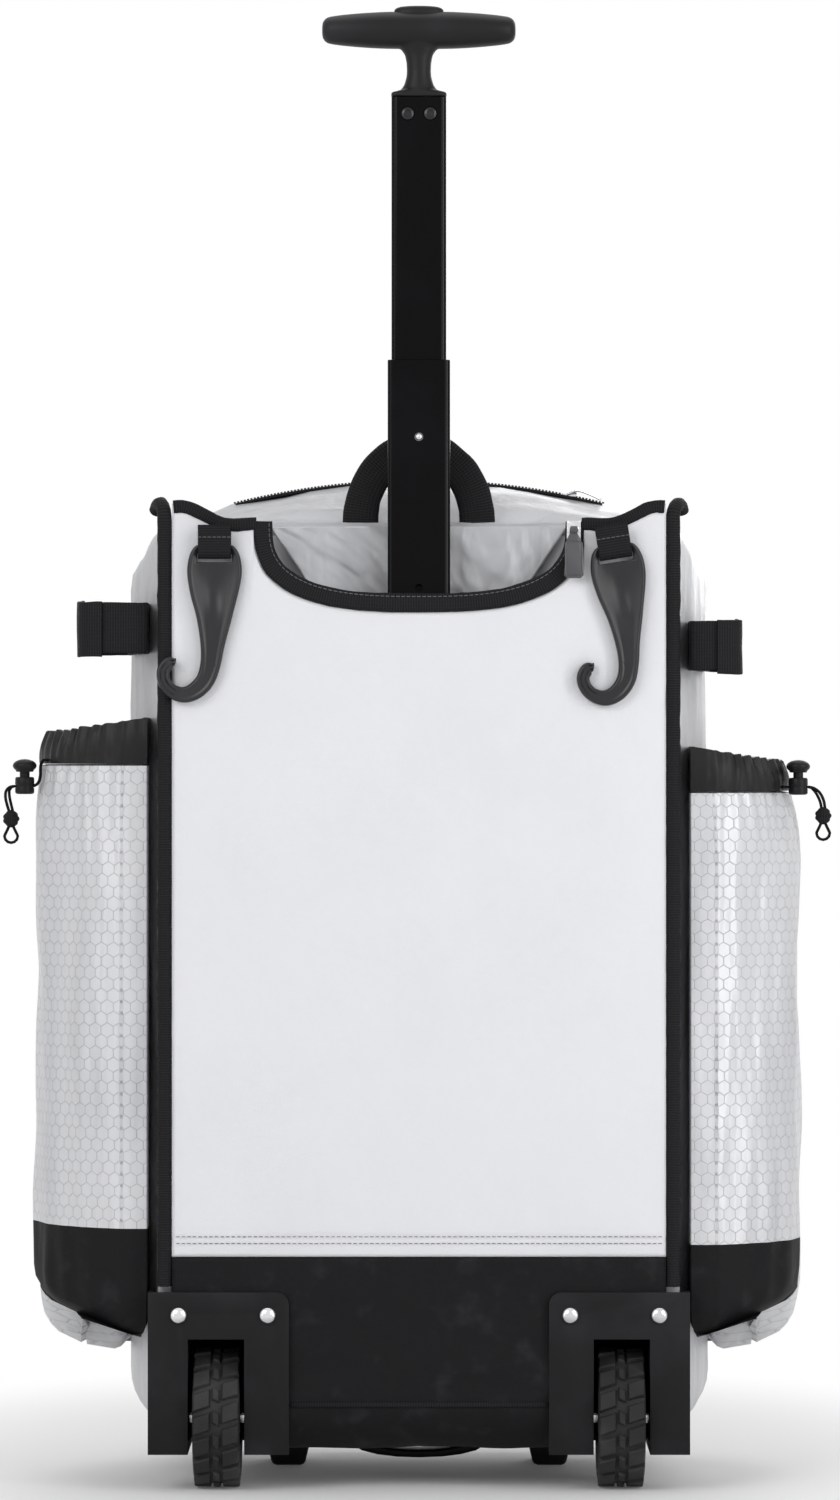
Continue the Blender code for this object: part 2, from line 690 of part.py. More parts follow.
def add_bottom_handle():
    top = BASE_UNDERSIDE - CLEARANCE
    steps = 10
    inner_half = GRAB_HALF_LENGTH - 0.013

    def bow(half, drop):
        return [
            (-half * math.cos(math.pi * i / steps), top - drop * math.sin(math.pi * i / steps) ** 0.6)
            for i in range(steps + 1)
        ]

    drop = top - GRAB_LOWEST
    outline = bow(GRAB_HALF_LENGTH, drop) + bow(inner_half, drop - GRAB_THICKNESS)[::-1]
    bm = prism(outline, "Y", at_depth(GRAB_DEPTHS[0]), at_depth(GRAB_DEPTHS[1]))
    add_piece("bottom_handle", bm, black_plastic)


# ---- Telescopic trolley --------------------------------------------------------------------------
def tube_loop(stage, shrink, z):
    """Section of a tube stage at a height, moved inwards by shrink (outwards if negative)."""
    half_x, half_y, radius = stage[:3]
    outline = rounded_rectangle(
        half_x - shrink, half_y - shrink, max(radius - shrink, 0.0008), 3,
        centre=(0.0, at_depth(TROLLEY_DEPTH)),
    )
    return [(x, y, z) for x, y in outline]


def add_tube(name, stage, material):
    bottom, top = stage[3:]
    loops = [tube_loop(stage, shrink, z)
             for shrink, z in ((0, bottom), (0, top), (TUBE_WALL, top), (TUBE_WALL, bottom))]
    return add_piece(name, loft(loops, closed=True), material)


def drill_front_wall(name, tubes, x, z, radius):
    """A round hole through the front walls of these tubes, towards the back of the bag."""
    centre = (x, at_depth(TROLLEY_DEPTH), z)
    cutter = add_cutter(name, turned([(radius, -0.03), (radius, -0.002)], centre, "Y", 12))
    for tube in tubes:
        apply_boolean(tube, cutter)


def add_guide(name, outer_stage, own_stage):
    """Plug in the lower end of a tube, whose flange slides in the tube around it."""
    end = own_stage[3]
    flange = TUBE_WALL + CLEARANCE
    loops = [
        tube_loop(outer_stage, flange, end - CLEARANCE - GUIDE_FLANGE),
        tube_loop(outer_stage, flange, end - CLEARANCE),
        tube_loop(own_stage, flange, end - CLEARANCE),
        tube_loop(own_stage, flange, end + GUIDE_BOSS),
    ]
    return add_piece(name, loft(loops), black_plastic)


def add_lock_clip(name, own_stage, outer_stage):
    """Bent spring-steel clip whose domed button stands in both tubes' holes."""
    z = own_stage[3] + LOCK_ABOVE_TUBE_END
    reach = own_stage[1] - TUBE_WALL - CLEARANCE
    centre_y = at_depth(TROLLEY_DEPTH)
    low, shoulder, rise = z - 0.0034, z + 0.0045, 0.0085

    def strip(offset):
        half = reach - offset
        return [(centre_y - half, low)] + [
            (centre_y - half * math.cos(a), shoulder + (rise - offset) * math.sin(a))
            for a in (math.pi * i / 8 for i in range(9))
        ] + [(centre_y + half, low)]

    outline = strip(0.0) + strip(LOCK_CLIP_STEEL)[::-1]
    half = LOCK_CLIP_WIDTH / 2
    clip = add_piece(name, prism(outline, "X", -half, half), bright_steel)
    tip = outer_stage[1] + 0.0008
    dome = [(LOCK_BUTTON_RADIUS, -reach + LOCK_CLIP_STEEL / 2), (LOCK_BUTTON_RADIUS, -tip + 0.001),
            (0.0019, -tip + 0.0003), (0.0009, -tip)]
    button = add_cutter(f"cutter_{name}", turned(dome, (0.0, centre_y, z), "Y", 14))
    apply_boolean(clip, button, "UNION")
    return clip


def add_trolley_mounts():
    """The collar round the fixed tube's top and the bracket that holds its foot."""
    depths = (PANEL_THICKNESS + 2 * CLEARANCE, BACK_WALL_DEPTH - CLEARANCE)
    half_depth = (depths[1] - depths[0]) / 2
    middle = (depths[1] + depths[0]) / 2

    def outer(half_width, z):
        outline = rounded_rectangle(half_width, half_depth, 0.004, 3, centre=(0.0, at_depth(middle)))
        return [(x, y, z) for x, y in outline]

    top, bottom = FIXED_TUBE[4], FIXED_TUBE[3]
    collar = [
        outer(COLLAR_HALF_WIDTH, top - COLLAR_HEIGHT),
        outer(COLLAR_HALF_WIDTH, top + COLLAR_LIP),
        tube_loop(MIDDLE_TUBE, -CLEARANCE, top + COLLAR_LIP),
        tube_loop(MIDDLE_TUBE, -CLEARANCE, top + CLEARANCE),
        tube_loop(FIXED_TUBE, -CLEARANCE, top + CLEARANCE),
        tube_loop(FIXED_TUBE, -CLEARANCE, top - COLLAR_HEIGHT),
    ]
    add_piece("trolley_collar", loft(collar, closed=True), black_plastic)
    bracket = [
        outer(BRACKET_HALF_WIDTH, bottom - BRACKET_FLOOR),
        outer(BRACKET_HALF_WIDTH, bottom + BRACKET_SOCKET),
        tube_loop(FIXED_TUBE, -CLEARANCE, bottom + BRACKET_SOCKET),
        tube_loop(FIXED_TUBE, -CLEARANCE, bottom - CLEARANCE),
    ]
    add_piece("tube_base_bracket", loft(bracket), black_plastic)


def ellipse(half_x, half_y, z, steps=16):
    """Upright section of the grip's neck, its points in step with a tube section's."""
    centre_y = at_depth(TROLLEY_DEPTH)
    points = []
    for i in range(steps):
        quarter, step = divmod(i, 4)
        angle = math.pi / 2 * (quarter + (step + 0.5) / 4)
        points.append((half_x * math.cos(angle), centre_y + half_y * math.sin(angle), z))
    return points


def add_grip():
    top = INNER_TUBE[4]
    seat = top + CLEARANCE
    neck = [
        tube_loop(INNER_TUBE, TUBE_WALL + CLEARANCE, top - PLUG_LENGTH),
        tube_loop(INNER_TUBE, TUBE_WALL + CLEARANCE, seat),
        tube_loop(INNER_TUBE, 0.0, seat),
        tube_loop(INNER_TUBE, 0.0, seat + NECK_FLANGE),
        ellipse(0.0120, 0.0088, seat + NECK_FLANGE),
        ellipse(0.0092, 0.0080, seat + 0.0085),
        ellipse(0.0078, 0.0074, seat + 0.0170),
        ellipse(0.0082, 0.0078, seat + 0.0260),
        ellipse(0.0112, 0.0086, seat + 0.0320),
        ellipse(0.0215, 0.0100, seat + 0.0372),
        ellipse(0.0260, 0.0105, GRIP_AXIS_Z),
    ]
    grip = add_piece("grip", loft(neck), black_rubber)
    centre_y = at_depth(TROLLEY_DEPTH)
    sections = ((0.0635, 0.0030, 0.0035), (0.0622, 0.0068, 0.0075), (0.0580, 0.0092, 0.0105),
                (0.0450, 0.0108, 0.0125), (0.0200, 0.0123, 0.0130))
    sections = [*sections, *((-x, h, d) for x, h, d in reversed(sections))]
    bar_loops = [
        [
            (x * GRIP_HALF_LENGTH / 0.0635, centre_y + half_depth * math.cos(math.tau * i / 18),
             GRIP_AXIS_Z + half_height * math.sin(math.tau * i / 18))
            for i in range(18)
        ]
        for x, half_height, half_depth in sections
    ]
    apply_boolean(grip, add_cutter("cutter_grip_bar", loft(bar_loops)), "UNION")
    button_bottom = BUTTON_TOP - BUTTON_SKIRT
    pocket_floor = button_bottom - BUTTON_TRAVEL - CLEARANCE
    pocket = loft([
        ellipse(BUTTON_HALF[0] + CLEARANCE, BUTTON_HALF[1] + CLEARANCE, z, 16)
        for z in (pocket_floor, BUTTON_TOP + 0.01)
    ])
    apply_boolean(grip, add_cutter("cutter_button_pocket", pocket))
    chamber = [(SPRING_CHAMBER_RADIUS, SPRING_CHAMBER_FLOOR), (SPRING_CHAMBER_RADIUS, BUTTON_TOP)]
    apply_boolean(
        grip, add_cutter("cutter_spring_chamber", turned(chamber, (0, centre_y, 0), "Z", 14))
    )
    bore = [(ROD_RADIUS + 0.0004, top - PLUG_LENGTH - 0.01), (ROD_RADIUS + 0.0004, BUTTON_TOP)]
    apply_boolean(grip, add_cutter("cutter_rod_bore", turned(bore, (0, centre_y, 0), "Z", 12)))
    return grip


def add_release_button():
    """The button, its push rod and its return spring."""
    bottom = BUTTON_TOP - BUTTON_SKIRT
    half_x, half_y = BUTTON_HALF
    sizes = ((1.0, bottom), (1.0, BUTTON_TOP - 0.0040), (0.94, BUTTON_TOP - 0.0016),
             (0.76, BUTTON_TOP - 0.0004), (0.46, BUTTON_TOP))
    loops = [ellipse(half_x * share, half_y * share, z) for share, z in sizes]
    button = add_piece("release_button", loft(loops), black_rubber)
    centre = (0.0, at_depth(TROLLEY_DEPTH), 0.0)
    collar_top = bottom - 0.0115
    lowest = INNER_TUBE[3] + LOCK_ABOVE_TUBE_END + 0.0045 + 0.0085 + 0.0003
    rod = [(ROD_RADIUS, lowest), (ROD_RADIUS, collar_top - 0.002), (0.0041, collar_top - 0.002),
           (0.0041, collar_top), (ROD_RADIUS, collar_top), (ROD_RADIUS, bottom - CLEARANCE)]
    rod_piece = add_piece("push_rod", turned(rod, centre, "Z", 10), bright_steel)
    foot = SPRING_CHAMBER_FLOOR + CLEARANCE + SPRING_WIRE_RADIUS
    head = collar_top - 0.002 - CLEARANCE - SPRING_WIRE_RADIUS
    count = SPRING_TURNS * 12
    path = [
        (
            SPRING_COIL_RADIUS * math.cos(math.tau * i / 12),
            centre[1] + SPRING_COIL_RADIUS * math.sin(math.tau * i / 12),
            foot + (head - foot) * i / count,
        )
        for i in range(count + 1)
    ]
    spring = add_round_cord("button_spring", path, SPRING_WIRE_RADIUS, bright_steel)
    spring.data.bevel_resolution = 0
    axis_point = (0.0, centre[1], BUTTON_TOP)
    return [button, rod_piece], spring, axis_point


def add_grip_screws(pierced):
    """Countersunk screws that hold the grip's plug in the inner tube."""
    z = INNER_TUBE[4] - SCREW_BELOW_TUBE_TOP
    face = -INNER_TUBE[1]
    screws = []
    for side, sign in SIDES.items():
        centre = (sign * SCREW_X, at_depth(TROLLEY_DEPTH), z)
        screw = [(0.0036, face - 0.0003), (SCREW_HEAD_RADIUS, face), (SCREW_SHANK_RADIUS, face + 0.0013),
                 (SCREW_SHANK_RADIUS, face + 0.0052)]
        screws.append(
            add_piece(f"grip_screw_{side}", turned(screw, centre, "Y", 14), black_steel)
        )
        hole = [(radius + 0.0004, along) for radius, along in screw]
        hole[0] = (SCREW_HEAD_RADIUS + 0.0004, face - 0.002)
        hole[-1] = (hole[-1][0], face + 0.0060)
        cutter = add_cutter(f"cutter_screw_{side}", turned(hole, centre, "Y", 14))
        for piece in pierced:
            apply_boolean(piece, cutter)
    return screws


def add_trolley():
    fixed = add_tube("fixed_tube", FIXED_TUBE, black_metal)
    middle = add_tube("middle_tube", MIDDLE_TUBE, black_metal)
    inner = add_tube("inner_tube", INNER_TUBE, black_metal)
    hole = LOCK_BUTTON_RADIUS + CLEARANCE
    drill_front_wall("cutter_lower_lock", [fixed, middle], 0.0,
                     MIDDLE_TUBE[3] + LOCK_ABOVE_TUBE_END, hole)
    drill_front_wall("cutter_upper_lock", [middle, inner], 0.0,
                     INNER_TUBE[3] + LOCK_ABOVE_TUBE_END, hole)
    drill_front_wall("cutter_mid_lock", [middle], 0.0, MID_LOCK_HOLE_Z, hole)
    add_trolley_mounts()
    middle_guide = add_guide("middle_tube_guide", FIXED_TUBE, MIDDLE_TUBE)
    inner_guide = add_guide("inner_tube_guide", MIDDLE_TUBE, INNER_TUBE)
    middle_clip = add_lock_clip("middle_lock_clip", MIDDLE_TUBE, FIXED_TUBE)
    inner_clip = add_lock_clip("inner_lock_clip", INNER_TUBE, MIDDLE_TUBE)
    grip = add_grip()
    screws = add_grip_screws([inner, grip])
    pressed, spring, button_point = add_release_button()
    centre_y = at_depth(TROLLEY_DEPTH)
    add_joint_empty("middle_slide_axis", (0, centre_y, MIDDLE_TUBE[4]),
                    [middle, middle_guide, middle_clip])
    add_joint_empty("inner_slide_axis", (0, centre_y, INNER_TUBE[4]),
                    [inner, inner_guide, inner_clip, grip, spring, *screws])
    add_joint_empty("release_axis", button_point, pressed)


# ---- Haul handle, flap, hooks, straps ------------------------------------------------------------
def add_haul_handle():
    base = SHELL_STATIONS[0][2] + CLEARANCE
    steps = 14

    def arch(half, rise):
        return [(half * math.cos(math.pi * i / steps), base + rise * math.sin(math.pi * i / steps))
                for i in range(steps + 1)]

    outline = arch(*HAUL_OUTER) + arch(*HAUL_SLOT)[::-1]
    bm = prism(outline, "Y", at_depth(HAUL_DEPTHS[0]), at_depth(HAUL_DEPTHS[1]))
    add_piece("haul_handle", bm, black_tape)


def add_cover_flap():
    low, high = FLAP_HALF_WIDTHS
    outline = [(-low, FLAP_BOTTOM), (low, FLAP_BOTTOM), (high, FLAP_TOP), (-high, FLAP_TOP)]
    bm = prism(outline, "Y", at_depth(FLAP_DEPTHS[0]), at_depth(FLAP_DEPTHS[1]))
    add_piece("handle_cover_flap", bm, silver_cloth)


def hook_outline():
    """Both edges of the hook, walked down one side and back up the other."""
    path = smooth_path([Vector(point) for point in HOOK_OUTLINE], 0.006)
    edges = ([], [])
    for i, (x, z, half) in enumerate(path):
        ahead, behind = path[min(i + 1, len(path) - 1)], path[max(i - 1, 0)]
        along = Vector((ahead[0] - behind[0], ahead[1] - behind[1])).normalized()
        for edge, sign in zip(edges, (1, -1)):
            edge.append((x - sign * along.y * half, z + sign * along.x * half))
    return edges[0] + edges[1][::-1]


def add_hook(side):
    x, z = HOOK_PIVOTS[side]
    lean = Matrix.Rotation(math.radians(HOOK_LEAN[side]), 4, "Y")
    place = Matrix.Translation((x, at_depth(HOOK_DEPTH), z)) @ lean
    half = HOOK_THICKNESS / 2
    hook = prism(hook_outline(), "Y", -half, half)
    slot_half, (slot_top, slot_bottom) = HOOK_SLOT_HALF_WIDTH, HOOK_SLOT_BELOW
    slot = prism(
        [(-slot_half, -slot_bottom), (slot_half, -slot_bottom), (slot_half, -slot_top),
         (-slot_half, -slot_top)], "Y", -0.01, 0.01,
    )
    inner = WEBBING_LOOP_RADIUS

    def strip(radius):
        turn = [(radius * math.cos(a), -radius * math.sin(a))
                for a in (math.pi * i / 8 for i in range(9))]
        return [(radius, WEBBING_RISE), *turn, (-radius, WEBBING_RISE)]

    webbing = prism(strip(inner + WEBBING_THICKNESS) + strip(inner)[::-1], "X",
                    -WEBBING_HALF_WIDTH, WEBBING_HALF_WIDTH)
    for bm in (hook, slot, webbing):
        bmesh.ops.transform(bm, matrix=place, verts=bm.verts)
    hook_piece = add_piece(f"hook_{side}", hook, black_plastic)
    apply_boolean(hook_piece, add_cutter(f"cutter_hook_slot_{side}", slot))
    add_piece(f"hook_webbing_{side}", webbing, black_tape)
    add_joint_empty(f"hook_{side}_axis", place.translation, [hook_piece])


def beside_bag(depth):
    """Half width just clear of the shell's side and of the wheel housing's lip."""
    return max(shell_value(depth, 1), HOUSING_OUTER_X) + SLEEVE_CLEARANCE


def side_follow(start, end):
    """Points just beside the bag from one depth to another, as (half width, y)."""
    between = [s[0] for s in SHELL_STATIONS if min(start, end) < s[0] < max(start, end)]
    depths = sorted([start, end, *between], reverse=start > end)
    return [(beside_bag(depth), at_depth(depth)) for depth in depths]


def add_stick_strap(side, sign):
    reach = STRAP_REACH[side]
    back, front = SHELL_STATIONS[0][0] + 0.002, STRAP_FRONT_DEPTH
    outline = [
        *side_follow(front, back),
        (reach - 0.012, at_depth(back - 0.001)),
        (reach - 0.003, at_depth(back + 0.004)),
        (reach, at_depth(back + 0.014)),
        (reach, at_depth(front - 0.014)),
        (reach - 0.004, at_depth(front - 0.004)),
        (reach - 0.012, at_depth(front)),
    ]
    low, high = STRAP_Z[side]
    loops = [
        [(sign * x, y, z) for x, y in inset(outline, shrink)]
        for shrink, z in ((0, low), (0, high), (STRAP_THICKNESS, high), (STRAP_THICKNESS, low))
    ]
    add_piece(f"stick_strap_{side}", loft(loops, closed=True), black_tape)


# ---- Side sleeves, collars and drawcords ---------------------------------------------------------
def sleeve_outline():
    outer = [(half, at_depth(depth)) for depth, half in SLEEVE_OUTLINE]
    return outer + side_follow(SLEEVE_OUTLINE[-1][0] + 0.003, SLEEVE_OUTLINE[0][0])


def across_sleeve(half, y):
    """0 beside the bag, 1 at the sleeve's widest."""
    inner, outer = beside_bag(y - BACK_FACE_Y), max(half for _, half in SLEEVE_OUTLINE)
    return max(half - inner, 0.0) / (outer - inner)


def gathered(outline, amount):
    """The outline drawn in towards the bag, most where it is widest."""
    return [(half - amount * across_sleeve(half, y), y) for half, y in outline]


def flattened(outline):
    """The outline squeezed to a narrow strip along its own middle."""
    middle = (SLEEVE_OUTLINE[0][1] + max(half for _, half in SLEEVE_OUTLINE)) / 2
    return [(middle + (half - middle) * 0.12, y) for half, y in outline]


def sleeve_underside(half, y):
    """Height of the sleeve's base: it slants in at the back and bulges lower at the front."""
    across = across_sleeve(half, y)
    slanted = SLEEVE_BASE_INNER + (SLEEVE_BASE_OUTER - SLEEVE_BASE_INNER) * across
    bulged = SLEEVE_BULGE_BOTTOM + 0.02 * across**2
    share = min(max((y - at_depth(0.090)) / 0.040, 0.0), 1.0)
    return slanted + (bulged - slanted) * share * share * (3 - 2 * share)


def add_sleeve(side, sign):
    wide, top = sleeve_outline(), SLEEVE_TOP[side]
    rim, shoulder = gathered(wide, SLEEVE_GATHER[side]), top - SLEEVE_GATHER_HEIGHT

    def level(outline, z):
        return [(sign * half, y, z) for half, y in outline]

    def underside(outline, rise):
        return [(sign * half, y, sleeve_underside(half, y) + rise) for half, y in outline]

    loops = [
        underside(flattened(inset(wide, 0.012)), 0.0),
        underside(inset(wide, 0.010), 0.001),
        underside(inset(wide, 0.003), 0.006),
        underside(wide, 0.018),
        level(wide, shoulder),
        level(rim, top),
        level(inset(rim, SLEEVE_WALL), top),
        level(inset(wide, SLEEVE_WALL), shoulder),
        level(inset(wide, SLEEVE_WALL), SLEEVE_FLOOR),
    ]
    add_piece(f"sleeve_{side}", loft(loops), silver_cloth)


def collar_top(side, half):
    """Height of the gathered collar's rim, which falls away from the bag."""
    rise = SLEEVE_TOP[side] + COLLAR_CLOTH_HEIGHT[side]
    return rise - COLLAR_CLOTH_SLOPE * (half - SLEEVE_OUTLINE[0][1])


def add_sleeve_collar(side, sign):
    bottom, thick = SLEEVE_TOP[side] + CLEARANCE, COLLAR_CLOTH_THICKNESS
    foot = gathered(sleeve_outline(), SLEEVE_GATHER[side])
    rim = gathered(sleeve_outline(), SLEEVE_GATHER[side] + COLLAR_CLOTH_GATHER)
    loops = [
        [(sign * half, y, bottom) for half, y in foot],
        [(sign * half, y, collar_top(side, half)) for half, y in rim],
        [(sign * half, y, collar_top(side, half)) for half, y in inset(rim, thick)],
        [(sign * half, y, bottom) for half, y in inset(foot, thick)],
    ]
    add_piece(f"sleeve_collar_{side}", loft(loops, closed=True), black_cloth)


def collar_half_width(side, depth, z):
    """Outer half width of the gathered collar at a depth and height."""
    for (near, low), (far, high) in zip(SLEEVE_OUTLINE, SLEEVE_OUTLINE[1:]):
        if near <= depth <= far:
            half = low + (high - low) * (depth - near) / (far - near)
    share = (z - SLEEVE_TOP[side]) / COLLAR_CLOTH_HEIGHT[side]
    pulled_in = SLEEVE_GATHER[side] + COLLAR_CLOTH_GATHER * share
    return half - pulled_in * across_sleeve(half, at_depth(depth))


def drawcord_route(side):
    """Out of the collar, through the lock, round the loop below the knot and back, as (u, v, w)."""
    hole_x, hole_z = LOCK_HOLE[side]
    lead = CORD_FROM_COLLAR[side]
    start_z = hole_z + lead[0][1]
    start = (collar_half_width(side, CORD_DEPTH, start_z) + 5 * CLEARANCE - hole_x, lead[0][1])
    knot_u, knot_w = KNOT[side]
    gap, loop = CORD_SPREAD - 0.0001, CORD_LOOP_RADIUS
    down = [(u, -CORD_SPREAD, w) for u, w in (start, *lead, (0.0, 0.0))]
    down += [(u, -CORD_SPREAD * (1 - i / 6), w) for i, (u, w) in enumerate(CORD_OUTER_STRAND[side])]
    below = knot_w - KNOT_HALF_HEIGHT
    turn = [
        (knot_u + loop * math.sin(a), 0.0, below - 0.0075 - loop * -math.cos(a))
        for a in (math.pi * (0.5 + i / 6) for i in range(7))
    ]
    through = [(knot_u + gap, 0.0, knot_w + KNOT_HALF_HEIGHT), (knot_u + gap, 0.0, below)]
    back = [(knot_u - gap, 0.0, below), (knot_u - gap, 0.0, knot_w + KNOT_HALF_HEIGHT)]
    up = [(u, CORD_SPREAD * (1 - i / 6), w) for i, (u, w) in enumerate(CORD_INNER_STRAND[side])]
    up = up[::-1] + [(u, CORD_SPREAD, w) for u, w in ((0.0, 0.0), *lead[::-1], start)]
    return down + through + turn + back + up


def add_drawcord(side, sign):
    hole_x, hole_z = LOCK_HOLE[side]
    y = at_depth(CORD_DEPTH)
    route = [(sign * (hole_x + u), y + v, hole_z + w) for u, v, w in drawcord_route(side)]
    add_round_cord(f"drawcord_{side}", smooth_path(route, 0.0034), CORD_RADIUS, black_tape)
    knot_u, knot_w = KNOT[side]
    centre = (sign * (hole_x + knot_u), y, hole_z + knot_w)
    tall = KNOT_HALF_HEIGHT - 0.0002
    bore = CORD_SPREAD + CORD_RADIUS + 0.0004
    knot = [(bore, -tall), (KNOT_RADIUS * 0.78, -tall), (KNOT_RADIUS, -tall / 2),
            (KNOT_RADIUS, tall / 2), (KNOT_RADIUS * 0.72, tall), (bore, tall)]
    add_piece(f"cord_end_{side}", turned(knot, centre, "Z", 12, bored=True), black_tape)


def add_cord_lock(side, sign):
    hole_x, hole_z = LOCK_HOLE[side]
    centre = (sign * hole_x, at_depth(CORD_DEPTH), hole_z)
    low, high = LOCK_BARREL
    radius, wall = LOCK_BARREL_RADIUS, 0.0006
    stem = PLUNGER_STEM_RADIUS
    profile = [(radius - 0.0012, low), (radius, low + 0.0012), (radius, high - wall),
               (radius - wall, high), (stem + CLEARANCE, high), (stem + CLEARANCE, 0.0018)]
    barrel = add_piece(f"cord_lock_barrel_{side}", turned(profile, centre, "Z", 18), black_plastic)
    passage = prism(
        rounded_rectangle(CORD_SPREAD + 0.0014, 0.0014, 0.0010, 2, centre=centre[1:]),
        "X", centre[0] - 0.012, centre[0] + 0.012,
    )
    apply_boolean(barrel, add_cutter(f"cutter_cord_passage_{side}", passage))
    cap_low = high + PLUNGER_TRAVEL + CLEARANCE
    foot = 0.0018 + PLUNGER_TRAVEL + CLEARANCE
    cap = [(stem, foot), (stem, cap_low), (0.0058, cap_low), (0.0076, cap_low + 0.0018),
           (0.0080, cap_low + 0.0036), (0.0072, cap_low + 0.0060), (0.0048, cap_low + 0.0078),
           (0.0018, cap_low + 0.0086)]
    plunger = add_piece(f"cord_lock_plunger_{side}", turned(cap, centre, "Z", 18), black_plastic)
    add_joint_empty(f"plunger_{side}_axis", centre, [plunger])


# ---- Zip slider and pull -------------------------------------------------------------------------
def add_zip_pull():
    """A slider on the pocket's zip with a cross pin, and the tab that hangs from it."""
    back = -BINDING_PROUD - CLEARANCE
    pin_y, pin_z = at_depth(ZIP_PIN_DEPTH), ZIP_PIN_Z
    body = box((ZIP_X - 0.0045, ZIP_X + 0.0045), (back - 0.0026, back), (pin_z - 0.0065, pin_z + 0.006))
    slider = add_piece("zip_slider", body, bright_steel)
    lug_depths = (ZIP_PIN_DEPTH - 0.0012, back - 0.0010)
    for number, sign in enumerate((-1, 1)):
        xs = sorted((ZIP_X + sign * 0.0028, ZIP_X + sign * 0.0044))
        lug = add_cutter(f"cutter_zip_lug_{number}", box(xs, lug_depths, (pin_z - 0.0016, pin_z + 0.0016)))
        apply_boolean(slider, lug, "UNION")
    pin = turned([(ZIP_PIN_RADIUS, -0.0038), (ZIP_PIN_RADIUS, 0.0038)], (ZIP_X, pin_y, pin_z), "X", 12)
    apply_boolean(slider, add_cutter("cutter_zip_pin", pin), "UNION")
    eye = ZIP_PIN_RADIUS + CLEARANCE
    profile = [(eye, -0.0022), (eye + 0.0012, -0.0022), (eye + 0.0012, 0.0022), (eye, 0.0022)]
    pull = add_piece(
        "zip_pull", turned(profile, (ZIP_X, pin_y, pin_z), "X", 12, bored=True), grey_plastic
    )
    half, thick = PULL_HALF_WIDTH, PULL_THICKNESS / 2
    top, bottom = pin_z - eye - 0.0006, pin_z - PULL_LENGTH
    tab = [(-0.0020, top), (-half * 0.72, top - 0.004), (-half, bottom + 0.002),
           (-half + 0.002, bottom), (half - 0.002, bottom), (half, bottom + 0.002),
           (half * 0.72, top - 0.004), (0.0020, top)]
    tab = prism([(ZIP_X + x, z) for x, z in tab], "Y", pin_y - thick, pin_y + thick)
    apply_boolean(pull, add_cutter("cutter_pull_tab", tab), "UNION")
    add_joint_empty("zip_pull_axis", (ZIP_X, pin_y, pin_z), [pull])


# ---- Build ---------------------------------------------------------------------------------------
for leftover in list(bpy.data.objects):
    bpy.data.objects.remove(leftover, do_unlink=True)

silver_cloth = finish("silver_cloth", (0.78, 0.79, 0.82), 0.45)
black_cloth = finish("black_cloth", (0.012, 0.012, 0.014), 0.75)
black_tape = finish("black_tape", (0.010, 0.010, 0.011), 0.80)
black_plastic = finish("black_plastic", (0.018, 0.018, 0.020), 0.50)
black_rubber = finish("black_rubber", (0.020, 0.020, 0.022), 0.55)
grey_plastic = finish("grey_plastic", (0.050, 0.050, 0.055), 0.45)
tyre_rubber = finish("tyre_rubber", (0.015, 0.015, 0.016), 0.80)
black_metal = finish("black_metal", (0.008, 0.008, 0.009), 0.15)
black_steel = finish("black_steel", (0.03, 0.03, 0.03), 0.30, 1.0)
bright_steel = finish("bright_steel", (0.75, 0.75, 0.76), 0.18, 1.0)
cutter_finish = finish("cutter", (0.8, 0.2, 0.1), 0.9)

add_back_panel()
add_pocket_binding()
lower_panel = add_lower_panel()
bag_shell = add_shell()
add_base_board()
add_front_door()
rivet_number = 0
for side_name, side_sign in SIDES.items():
    add_piping(side_name, side_sign)
    wheel_housing = add_wheel_housing(side_name, side_sign)
    side_x = side_sign * WHEEL_X
    envelope_half = WELL_SLOT_WIDTH / 2 + HOUSING_WALL
    panel_half = envelope_half + CLEARANCE
    shell_half = envelope_half + 0.0045  # also clears the axle's heads
    panel_cut = prism(well_profile(HOUSING_WALL + CLEARANCE, 0.01), "X",
                      side_x - panel_half, side_x + panel_half)
    apply_boolean(lower_panel, add_cutter(f"cutter_panel_well_{side_name}", panel_cut))
    shell_cut = prism(well_profile(HOUSING_WALL + 0.001, 0.01), "X",
                      side_x - shell_half, side_x + shell_half)
    apply_boolean(bag_shell, add_cutter(f"cutter_shell_well_{side_name}", shell_cut))
    for rivet_x in RIVET_X:
        rivet_number += 1
        add_rivet(rivet_number, side_sign * rivet_x, [wheel_housing, lower_panel])
    add_wheel(side_name, side_sign)
    add_skid_foot(side_name, side_sign)
    add_hook(side_name)
    add_stick_strap(side_name, side_sign)
    add_sleeve(side_name, side_sign)
    add_sleeve_collar(side_name, side_sign)
    add_drawcord(side_name, side_sign)
    add_cord_lock(side_name, side_sign)
add_bottom_handle()
add_trolley()
add_haul_handle()
add_cover_flap()
add_zip_pull()
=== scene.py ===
# %% [markdown]
# # A wheeled skate and stick bag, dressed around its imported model
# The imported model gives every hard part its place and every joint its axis. This lesson puts cloth,
# webbing, rubber and plastic over that frame, one piece at a time. Lengths are metres, +Z is up, and
# the trolley side of the bag faces -Y. A "depth" is measured forward from the back panel's face.

import json
import math

import bmesh
import bpy
from mathutils import Matrix, Vector, noise

